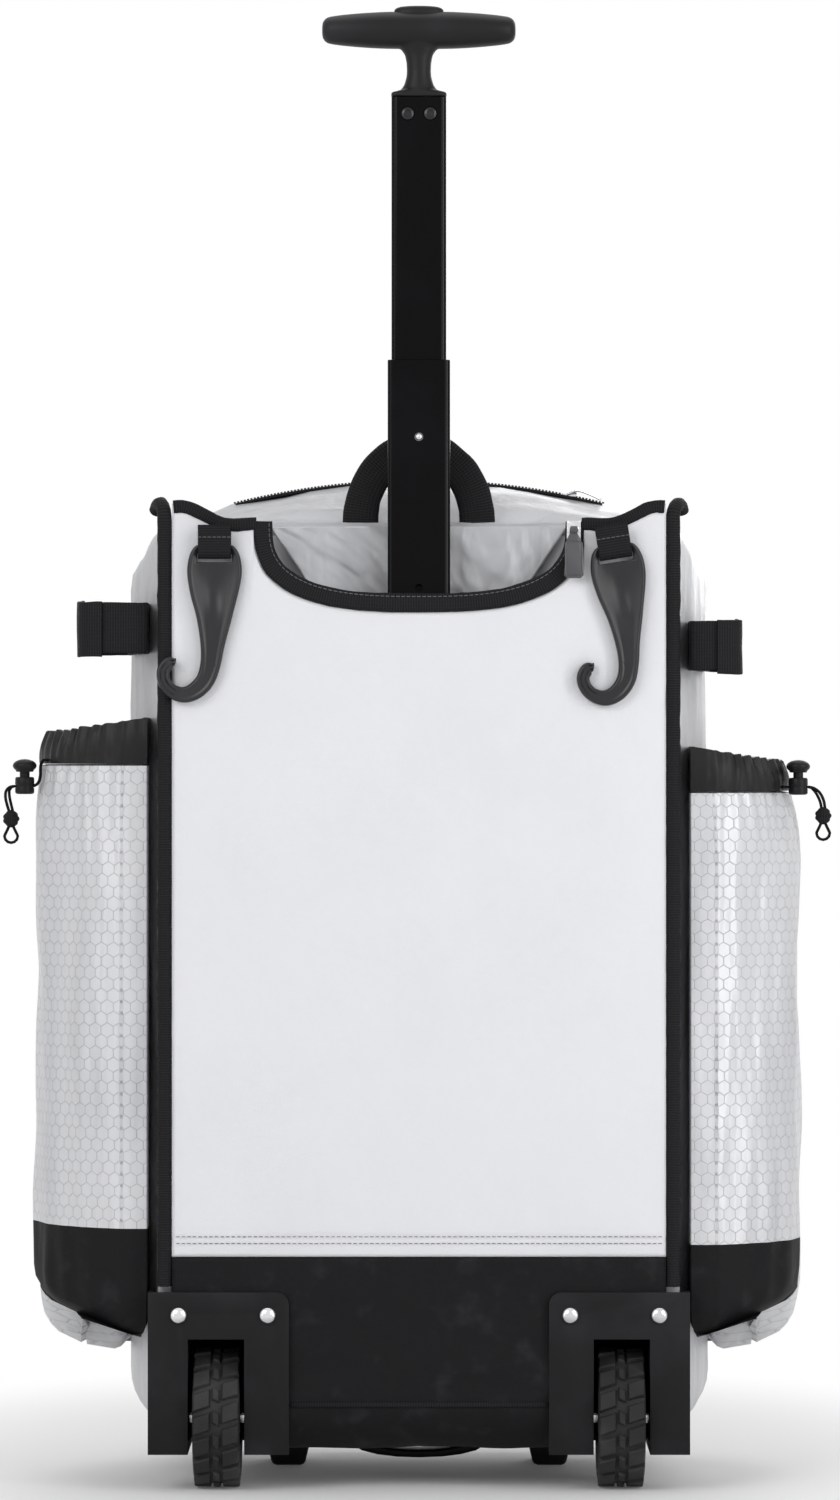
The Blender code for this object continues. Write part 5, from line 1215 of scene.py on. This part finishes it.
for side, sign in SIDES.items():
    hole_x, hole_z = LOCK_HOLE[side]
    cy = at_depth(CORD_DEPTH)
    route = [(sign * (hole_x + u), cy + v, hole_z + w) for u, v, w in cord_route(side)]
    path = smooth_path(route, 0.0017)
    curve = bpy.data.curves.new(f"drawcord_{side}_cord", "CURVE")
    curve.dimensions, curve.bevel_depth, curve.bevel_resolution, curve.use_fill_caps = "3D", CORD_RADIUS, 3, True
    spline = curve.splines.new("POLY")
    spline.points.add(len(path) - 1)
    for spot, where in zip(spline.points, path):
        spot.co = (*where, 1.0)
    curve.materials.append(webbing.material)
    cord = bpy.data.objects.new(f"drawcord_{side}_cord", curve)
    scene.collection.objects.link(cord)
    fit(cord, "bag", "black_tape", f"drawcord_{side}")
    length = sum((b - a).length for a, b in zip(path, path[1:]))
    print(f"{side} drawcord {length * 1000:.0f} mm")
    knot_u, knot_w = KNOT[side]
    knot = lobed(f"drawcord_knot_{side}", (sign * (hole_x + knot_u), cy, hole_z + knot_w), 0.0056, 0.0058, 3,
        webbing)
    fit(knot, "bag", "black_tape", f"cord_end_{side}")
    centre = (sign * hole_x, cy, hole_z)
    barrel = turned(f"cord_lock_body_{side}", [
        (0.0040, -0.0052), (0.0054, -0.0050), (0.0063, -0.0042), (0.0064, -0.0010), (0.0061, 0.0), (0.0064, 0.0010),
        (0.0063, 0.0052), (0.0058, 0.0060), (0.0050, 0.0062), (0.0038, 0.0062), (0.0037, 0.0020)], centre, "Z",
        black_plastic)
    cut(barrel, [([(cy - 0.0026, hole_z - 0.0013), (cy + 0.0026, hole_z - 0.0013), (cy + 0.0026, hole_z + 0.0013),
                   (cy - 0.0026, hole_z + 0.0013)], "X", centre[0] - 0.012, centre[0] + 0.012)])
    fit(barrel, "bag", "black_plastic", f"cord_lock_barrel_{side}")
    cap_low = 0.0062 + 0.003 + 0.0003
    ball = [(0.0033, 0.0051), (0.0033, cap_low), (0.0056, cap_low + 0.0001)]
    ball += [(0.0079 * math.sin(a),
        cap_low + 0.0041 - 0.0044 * math.cos(a)) for a in (math.pi * (0.28 + 0.70 * i / 12) for i in range(13))]
    plunger = turned(f"cord_lock_cap_{side}", ball, centre, "Z", black_plastic)
    fit(plunger, f"lock_plunger_{side}", "black_plastic", f"cord_lock_plunger_{side}")

# %% [markdown]
# ## Hooks and their webbing
# Two moulded hooks hang the bag on a fence. Each is a flat bar with a raised bead round its edge and a
# sunken face, wide at the head and slim in the curl. One section is carried down the hook's own line,
# and the bead fades out where the bar gets too narrow for it.

# %% Hooks
HOOK_PIVOTS = {"left": (-0.1333, 0.6152), "right": (0.1278, 0.6152)}
HOOK_LEAN = {"left": 0.0, "right": -9.0}
HOOK_DEPTH = -0.0059
HOOK_LINE = (
    (0.0000, 0.0040, 0.0090), (0.0000, 0.0026, 0.0128), (0.0000, -0.0030, 0.0163), (0.0000, -0.0140, 0.0179),
    (-0.0002, -0.0275, 0.0159), (-0.0002, -0.0430, 0.0119), (-0.0012, -0.0605, 0.0082), (-0.0026, -0.0740, 0.0067),
    (-0.0060, -0.0845, 0.0062), (-0.0125, -0.0915, 0.0058), (-0.0205, -0.0942, 0.0052), (-0.0280, -0.0915, 0.0046),
    (-0.0328, -0.0855, 0.0043), (-0.0334, -0.0785, 0.0043), (-0.0296, -0.0735, 0.0042), (-0.0262, -0.0730, 0.0026),
)
HALF_BAR = 0.0025


def hook_section(half, height):
    """(sideways, towards the viewer) of one section: rounded rim, sunken middle, flat back."""
    bead = min(max((half - 0.0038) / 0.004, 0.0), 1.0)
    scoop = 0.75 * math.exp(-(((height + 0.026) / 0.014) ** 2)) if height > -0.06 else 0.0
    rim = min(0.0026 / half, 0.5)
    face = HALF_BAR * (1 - 0.42 * bead)
    deep = HALF_BAR * (1 - 0.42 * bead - scoop * bead)
    front = [(-1.0, 0.0), (-1 + 0.15 * rim, HALF_BAR * 0.55), (-1 + 0.45 * rim, HALF_BAR * 0.95),
        (-1 + 0.8 * rim, HALF_BAR * 1.05),
             (-1 + 1.15 * rim, HALF_BAR * 0.9), (-1 + 1.5 * rim, face), (-0.42, face), (-0.28, deep), (0.0, deep)]
    front += [(-a, b) for a, b in front[-2::-1]]
    back = [(1 - 0.3 * rim, -HALF_BAR * 0.8), (0.9 - 0.6 * rim, -HALF_BAR), (0.0, -HALF_BAR),
        (-0.9 + 0.6 * rim, -HALF_BAR), (-1 + 0.3 * rim, -HALF_BAR * 0.8)]
    return [(a * half, b) for a, b in front + back]


for side in SIDES:
    px, pz = HOOK_PIVOTS[side]
    lean = Matrix.Rotation(math.radians(HOOK_LEAN[side]), 4, "Y")
    place = Matrix.Translation((px, at_depth(HOOK_DEPTH), pz)) @ lean
    line = smooth_path(HOOK_LINE, 0.0012)
    loops = []
    for i, (hx, hz, half) in enumerate(line):
        ahead, behind = line[min(i + 1, len(line) - 1)], line[max(i - 1, 0)]
        along = Vector((ahead[0] - behind[0], ahead[1] - behind[1])).normalized()
        loops.append([place @ Vector((hx - along.y * a, -b, hz + along.x * a)) for a, b in hook_section(half, hz)])
    last_centre = sum(loops[-1], Vector()) / len(loops[-1])
    tip = (loops[-1][0] - loops[-6][0]).normalized()
    for share, reach in ((0.75, 0.0012), (0.35, 0.0019)):
        loops.append([last_centre + (p - last_centre) * share + tip * reach for p in loops[len(line) - 1]])
    points, faces = skin(loops)
    hook = make_piece(f"fence_hook_{side}", points, faces, hook_plastic, sharp=50.0)
    slot_outline = [place @ Vector((a, 0, b)) for a,
        b in ((-0.0113, -0.0077), (0.0113, -0.0077), (0.0113, -0.0026), (-0.0113, -0.0026))]
    cut(hook, [([(p.x, p.z) for p in slot_outline], "Y", at_depth(-0.02), at_depth(0.02))])
    fit(hook, f"hook_{side}", "black_plastic", f"hook_{side}")

    radius = 0.0048
    bend = [(radius * math.cos(a), -radius * math.sin(a)) for a in (math.pi * i / 14 for i in range(15))]
    tape_line = [(radius, 0.0165), (radius, 0.006), *bend, (-radius, 0.006), (-radius, 0.0165)]
    tape_line = even_path([place @ Vector((0, b, c)) for b, c in tape_line], 0.0012)
    sideways = (place.to_3x3() @ Vector((1, 0, 0)))
    tape = sweep(f"hook_tape_{side}", tape_line, strip_section(0.0107, 0.0008), webbing, across=sideways)
    fit(tape, "bag", "black_tape", f"hook_webbing_{side}")
    seam_at = [place @ Vector((a, -radius - 0.0009, 0.0085)) for a in (-0.0096, 0.0096)]
    spots = row_of(seam_at, 0.0030, (0, -1, 0))
    fit(copies_at(f"hook_tape_stitches_{side}", spots, stitch_stamp, thread), "bag", "black_tape")

# %% [markdown]
# ## Straps, haul handle and cover flap
# Hook-and-loop straps close round the stick shafts, a padded arch lifts the bag, and a loose silver
# flap covers the gap behind the trolley. The flap is one sheet sewn along its top edge.

# %% Side straps
STRAP_Z = {"left": (0.548, 0.582), "right": (0.537, 0.570)}
STRAP_REACH = {"left": 0.2224, "right": 0.2103}
for side, sign in SIDES.items():
    reach, back, front = STRAP_REACH[side], 0.0093, 0.120
    line = [(beside_bag(d) + 0.0011, at_depth(d), 0) for d in (front - 0.004, 0.09, 0.06, 0.044, 0.028,
        back + 0.003)]
    line += [(beside_bag(back) + 0.006, at_depth(back + 0.0004), 0), (reach - 0.012, at_depth(back), 0),
        (reach - 0.0042, at_depth(back + 0.0045), 0),
             (reach - 0.0014, at_depth(back + 0.013), 0), (reach - 0.0012, at_depth(0.060), 0),
             (reach - 0.0014, at_depth(front - 0.014), 0),
             (reach - 0.005, at_depth(front - 0.0045), 0), (reach - 0.0115, at_depth(front - 0.0014), 0)]
    low, high = STRAP_Z[side]
    middle = (low + high) / 2
    path = even_path(smooth_path([(sign * a, b, middle) for a, b,
        _ in line] + [(sign * line[0][0], line[0][1], middle)], 0.002), 0.0024)[:-1]
    strap = sweep(f"stick_strap_band_{side}", path, strip_section((high - low) / 2 - 0.0004, 0.0010), webbing,
        across=(0, 0, 1), closed=True)
    crumple(strap, 0.0004, 0.02)
    fit(strap, "bag", "black_tape", f"stick_strap_{side}")
    tail_line = [(sign * (reach - 0.015), at_depth(back - 0.0026), middle - 0.001),
        (sign * (reach - 0.004), at_depth(back + 0.0008), middle - 0.001),
                 (sign * (reach + 0.0009), at_depth(back + 0.010), middle - 0.001),
                 (sign * (reach + 0.0011), at_depth(0.050), middle),
                 (sign * (reach + 0.0011), at_depth(0.082), middle + 0.001)]
    tail = sweep(f"stick_strap_tail_{side}", even_path(smooth_path(tail_line, 0.002), 0.0024),
        strip_section((high - low) / 2 + 0.0012, 0.0010),
                 webbing, across=(0, 0, 1))
    crumple(tail, 0.0005, 0.02, seed=4)
    fit(tail, "bag", "black_tape")

# %% Haul handle
haul_path = [(0.0385 * math.cos(a), at_depth(0.0393),
    0.6350 + 0.0478 * math.sin(a)) for a in (math.pi * i / 48 for i in range(49))]
haul = sweep("haul_handle_arch", haul_path, rounded_rectangle(0.0030, 0.0117, 0.0026, 4, straight=4), webbing,
    across=(0, 1, 0))
crumple(haul, 0.0006, 0.015)
fit(haul, "bag", "black_tape", "haul_handle")

# %% Cover flap
FLAP_ROWS, FLAP_COLUMNS = 40, 90
points = []
for r in range(FLAP_ROWS + 1):
    share = r / FLAP_ROWS
    for c in range(FLAP_COLUMNS + 1):
        s = 2 * c / FLAP_COLUMNS - 1
        half = 0.062 + (0.098 - 0.062) * share
        z = 0.5785 + (0.6325 - 0.5785) * share
        crease = noise.fractal(Vector((s * 3.2 + share * 1.5, share * 1.3, 7.0)), 1.0, 2.0, 3)
        depth = 0.0335 - 0.0015 * math.sin(math.pi * share) + 0.0030 * crease - 0.006 * (1 - share) * abs(s) ** 3
        points.append((s * half, at_depth(min(depth, 0.0352)), z))
flap = make_piece("cover_flap_cloth", points, sheet_faces(FLAP_ROWS + 1, FLAP_COLUMNS + 1), shell_cloth)
thickened(flap, 0.0007, 0.0)
fit(flap, "bag", "silver_cloth", "handle_cover_flap")

# %% [markdown]
# ## Wheels and running gear
# The tyres carry knobbly tread: two staggered rows of blocks and a centre row. One block of each kind is
# modelled, and the ring tree sets it round the axle. Housings, feet and the bottom handle keep the
# frame's shapes and get rounded edges, as moulded parts have.

# %% Tyres
WHEEL_X, WHEEL_R, AXLE_DEPTH = 0.1325, 0.046, 0.032


def block(x0, x1, arc, low, high, skew=0.0):
    """One tread block beside the axle's origin, narrower at its top."""
    loops = []
    for radius, shrink in ((low, 0.0), (high - 0.0006, 0.0004), (high, 0.0010)):
        half = arc / 2 - shrink
        outline = [(x0 + shrink, -half - skew), (x1 - shrink, -half + skew), (x1 - shrink, half + skew),
            (x0 + shrink, half - skew)]
        loops.append([(x, t, math.sqrt(max(radius**2 - t**2, 0))) for x, t in outline])
    return skin(loops)


TREADS = 18
for side, sign in SIDES.items():
    centre = (sign * WHEEL_X, at_depth(AXLE_DEPTH), WHEEL_R)
    carcass = [(0.0300, -0.0123), (0.0345, -0.0150), (0.0385, -0.0155), (0.0415, -0.0146), (0.0425, -0.0120),
        (0.0432, -0.0060), (0.0434, 0.0)]
    carcass += [(r, -a) for r, a in carcass[-2::-1]]
    tyre = turned(f"tyre_carcass_{side}", carcass, centre, "X", tyre_rubber, steps=96, bored=True)
    fit(tyre, f"wheel_{side}", "tyre_rubber", f"tyre_{side}")
    for kind, shape, phase in (("outer", (0.0036, 0.0151, 0.0122, 0.0400, 0.0456, 0.0016), 0.0),
                               ("inner", (-0.0151, -0.0036, 0.0122, 0.0400, 0.0456, 0.0016), 0.5),
                               ("centre", (-0.0026, 0.0026, 0.0090, 0.0420, 0.0459, -0.0010), 0.25)):
        points, faces = block(*shape)
        tilt = Matrix.Rotation(TURN * phase / TREADS, 4, "X")
        stamp_block = make_piece(f"tread_{kind}_{side}", [tilt @ Vector(p) for p in points], faces, tyre_rubber)
        run_tree(stamp_block, ring_tree, {"Count": TREADS, "Centre": centre, "Finish": tyre_rubber.material})
        fit(stamp_block, f"wheel_{side}", "tyre_rubber")

# %% Housings, rivets, feet and bottom handle
for side, sign in SIDES.items():
    fit(softened_copy(f"wheel_housing_{side}", f"wheel_cover_{side}", black_plastic, 0.0009, 3), "bag",
        "black_plastic", f"wheel_housing_{side}")
    fit(softened_copy(f"skid_foot_{side}", f"foot_{side}", black_plastic, 0.0006, 2), "bag", "black_plastic",
        f"skid_foot_{side}")
fit(softened_copy("bottom_handle", "bottom_grab", black_plastic, 0.0016, 3), "bag", "black_plastic",
    "bottom_handle")

dome_loops = [[(r * math.cos(TURN * i / 28), r * math.sin(TURN * i / 28), h) for i in range(28)] for r, h in (
    (0.0019, -0.0068), (0.0019, 0.0), (0.0056, 0.0), (0.0057, 0.0004), (0.0052, 0.0015), (0.0042, 0.0025),
        (0.0028, 0.0031), (0.0010, 0.0034))]
dome_stamp = stamp_from("dome_stamp", *skin(dome_loops))
spots = [((sign * rx, at_depth(-0.0038), 0.116), (math.pi / 2, 0, 0)) for sign in (-1, 1) for rx in (0.0988,
    0.1569)]
rivets = copies_at("housing_rivets", spots, dome_stamp, chrome)
fit(rivets, "bag", "bright_steel", *(f"housing_rivet_{i}" for i in range(1, 5)))

# %% [markdown]
# ## Trolley
# Three lacquered tubes slide in one another, and the topmost carries a T-grip. Round corners matter
# here, because the bright lines down the tubes are reflections that live only on those corners.

# %% Trolley tubes
TROLLEY_DEPTH = 0.019
STAGES = {"fixed_tube": ("bag", 0.0230, 0.0135, 0.0045, 0.2620, 0.5720, (0.470,)),
          "middle_tube": ("middle_stage", 0.0205, 0.01125, 0.0042, 0.4520, 0.7405, (0.470, 0.591, 0.690)),
          "inner_tube": ("inner_stage", 0.0180, 0.0090, 0.0038, 0.6720, 0.9130, (0.690,))}
TUBE_Y = at_depth(TROLLEY_DEPTH)
for node, (body, half_x, half_y, corner, low, high, holes) in STAGES.items():
    def tube_ring(shrink, z):
        """Each corner is a flat facet with a small round at both its ends."""
        hx, hy = half_x - shrink, half_y - shrink
        quarter = [(hx, hy - 0.0036), (hx - 0.00006, hy - 0.0028), (hx - 0.0003, hy - 0.0020),
            (hx - 0.0007, hy - 0.00145), (hx - 0.0012, hy - 0.0011),
                   (hx - 0.0033, hy - 0.00008), (hx - 0.0036, hy)]
        outline = quarter + [(-a, b) for a, b in quarter[::-1]]
        outline += [(a, -b) for a, b in outline[::-1]]
        return [(a, TUBE_Y + b, z) for a, b in outline]
    loops = [tube_ring(s, z) for s,
        z in ((0.0003, low), (0, low + 0.0003), (0, high - 0.0003), (0.0003, high), (0.0015, high), (0.0015, low))]
    points, faces = skin(loops, ring=True)
    tube = make_piece(f"{node}_lacquered", points, faces, lacquer)
    drilled = [([(0.0027 * math.cos(TURN * i / 24), h + 0.0027 * math.sin(TURN * i / 24)) for i in range(24)], "Y",
        TUBE_Y - 0.03, TUBE_Y - 0.002)
               for h in holes]
    if node == "inner_tube":
        drilled += [([(s * 0.0074 + 0.0046 * math.cos(TURN * i / 24),
            0.9018 + 0.0046 * math.sin(TURN * i / 24)) for i in range(24)],
                     "Y", TUBE_Y - 0.03, TUBE_Y - 0.002) for s in (-1, 1)]
    cut(tube, drilled)
    tube.data.shade_smooth()
    tube.data.set_sharp_from_angle(angle=math.radians(40))
    fit(tube, body, "black_metal", node)
for node, width in (("trolley_collar", 0.0008), ("tube_base_bracket", 0.0008)):
    fit(softened_copy(node, f"{node}_moulded", black_plastic, width, 2), "bag", "black_plastic", node)
snap = turned("upper_snap_button", [(0.0023, 0.0), (0.0023, -0.0024), (0.0019, -0.0032), (0.0009, -0.0037)],
              (0.0, TUBE_Y - 0.0090, 0.690), "Y", chrome, steps=32)
fit(snap, "inner_stage", "bright_steel")

# %% Grip
SECTIONS = ((0.0635, 0.0030, 0.0035), (0.0628, 0.0058, 0.0062), (0.0600, 0.0084, 0.0092), (0.0540, 0.0096, 0.0112),
            (0.0450, 0.0106, 0.0122), (0.0320, 0.0116, 0.0128), (0.0160, 0.0122, 0.0130))
SECTIONS = [*SECTIONS, *((-a, h, d) for a, h, d in reversed(SECTIONS))]
GRIP_Z = 0.9572
loops = []
for a, h, d in smooth_path([(a, h, d) for a, h, d in SECTIONS], 0.002):
    loops.append([(a, TUBE_Y + d * math.cos(TURN * i / 36),
        GRIP_Z + h * math.sin(TURN * i / 36)) for i in range(36)])
points, faces = skin(loops)
grip = make_piece("grip_moulded", points, faces, grip_rubber)
neck_rows = ((0.0182, 0.0092, 0.9133, 0.35), (0.0182, 0.0092, 0.9160, 0.35), (0.0150, 0.0090, 0.9170, 0.6),
    (0.0118, 0.0087, 0.9182, 1), (0.0096, 0.0082, 0.9215, 1),
             (0.0082, 0.0077, 0.9265, 1), (0.0079, 0.0075, 0.9305, 1), (0.0082, 0.0077, 0.9360, 1),
             (0.0092, 0.0080, 0.9410, 1),
             (0.0125, 0.0088, 0.9455, 1), (0.0200, 0.0098, 0.9500, 1), (0.0290, 0.0105, 0.9550, 1))
loops = []
for hx, hy, nz, power in neck_rows:
    loops.append([(hx * math.copysign(abs(math.cos(a)) ** power, math.cos(a)),
        TUBE_Y + hy * math.copysign(abs(math.sin(a)) ** power, math.sin(a)), nz)
                  for a in (TURN * (i + 0.5) / 48 for i in range(48))])
neck_points, neck_faces = skin(loops)
neck = make_piece("grip_neck", neck_points, neck_faces, grip_rubber)
join = bmesh.new()
join.from_mesh(grip.data)
join.from_mesh(neck.data)
join.to_mesh(grip.data)
join.free()
bpy.data.objects.remove(neck, do_unlink=True)
remesh = grip.modifiers.new("one skin", "REMESH")
remesh.mode, remesh.voxel_size = "VOXEL", 0.00075
smooth = grip.modifiers.new("soft", "SMOOTH")
smooth.factor, smooth.iterations = 0.5, 7
baked(grip)
pocket = [(0.0167 * math.cos(TURN * i / 40), TUBE_Y + 0.0074 * math.sin(TURN * i / 40)) for i in range(40)]
cut(grip, [(pocket, "Z", 0.9563, 0.99)])
if not grip.data.materials:
    grip.data.materials.append(grip_rubber.material)
grip.data.shade_smooth()
grip.data.set_sharp_from_angle(angle=math.radians(50))
fit(grip, "inner_stage", "black_rubber", "grip")
loops = [[(0.0163 * s * math.cos(TURN * i / 40), TUBE_Y + 0.0070 * s * math.sin(TURN * i / 40),
    bz) for i in range(40)]
         for s, bz in ((1.0, 0.9617), (1.0, 0.9693), (0.985, 0.9704), (0.95, 0.9712), (0.88, 0.9719),
             (0.76, 0.9725), (0.55, 0.9729), (0.25, 0.9730))]
points, faces = skin(loops)
button = make_piece("release_button_cap", points, faces, grip_rubber)
fit(button, "release", "black_rubber", "release_button")
head_loops = [[(r * math.cos(TURN * i / 24), r * math.sin(TURN * i / 24), h) for i in range(24)] for r, h in (
    (0.0014, -0.0050), (0.0014, -0.0014), (0.0040, 0.0), (0.0041, 0.0003), (0.0036, 0.0008), (0.0022, 0.0010),
        (0.0020, 0.0003), (0.0004, 0.0002))]
head_stamp = stamp_from("screw_stamp", *skin(head_loops))
spots = [((s * 0.0074, TUBE_Y - 0.0090, 0.9018), (math.pi / 2, 0, 0)) for s in (-1, 1)]
fit(copies_at("grip_screws", spots, head_stamp, dark_steel), "inner_stage", "black_steel", "grip_screw_left",
    "grip_screw_right")

# %% Zip pull
fit(softened_copy("zip_slider", "pocket_zip_slider", chrome, 0.0004, 2), "bag", "bright_steel", "zip_slider")
pull = softened_copy("zip_pull", "pocket_zip_pull", grey_plastic, 0.0004, 2)
fit(pull, "zip_pull", "grey_plastic", "zip_pull")
rim_points = rounded_rectangle(0.0054, 0.0110, 0.0022, 5, (0.1010, 0.6285 - 0.0185), 3)
rim_path = even_path([(a, at_depth(-0.0074 - 0.0009), b) for a, b in (*rim_points, rim_points[0])], 0.0008)[:-1]
rim = sweep("pocket_zip_pull_rim", rim_path,
    [(0.0005 * math.cos(a), 0.0005 * math.sin(a)) for a in (TURN * i / 8 for i in range(8))],
            grey_plastic, across=(0, 1, 0), closed=True)
fit(rim, "zip_pull", "grey_plastic")
rest = Vector(crown((0.109, at_depth(ZIP_DEPTH), station_at(ZIP_DEPTH)[2])))
top_pull_line = [rest + Vector(offset) for offset in ((-0.0085, -0.004, 0.0046), (-0.002, -0.006, 0.0066),
    (0.006, -0.009, 0.0040), (0.013, -0.011, 0.0006))]
top_slider = sweep("main_zip_slider", [rest + Vector((-0.0125, 0, 0.0034)), rest + Vector((-0.003, 0, 0.0034))],
                   rounded_rectangle(0.0046, 0.0022, 0.0014, 3), chrome, across=(0, 1, 0))
fit(top_slider, "bag", "bright_steel")
top_pull = sweep("main_zip_pull", even_path(smooth_path(top_pull_line, 0.001), 0.001),
    strip_section(0.0036, 0.0008), chrome, across=(0, 1, 0))
fit(top_pull, "bag", "bright_steel")

# %% Finishes of the frame's own pieces
CARRIED = {"middle_tube_guide": black_plastic, "inner_tube_guide": black_plastic, "base_board": black_plastic,
    "hub_left": grey_plastic,
           "hub_right": grey_plastic, "axle_left": chrome, "axle_right": chrome, "push_rod": chrome,
           "button_spring": chrome,
           "inner_lock_clip": chrome, "middle_lock_clip": chrome}
for node, finish in CARRIED.items():
    mesh = frame["nodes"][node].data
    mesh.materials.clear()
    mesh.materials.append(finish.material)
shown = [n for n, o in frame["nodes"].items() if not o.hide_render]
print("CAD nodes still shown:", shown)
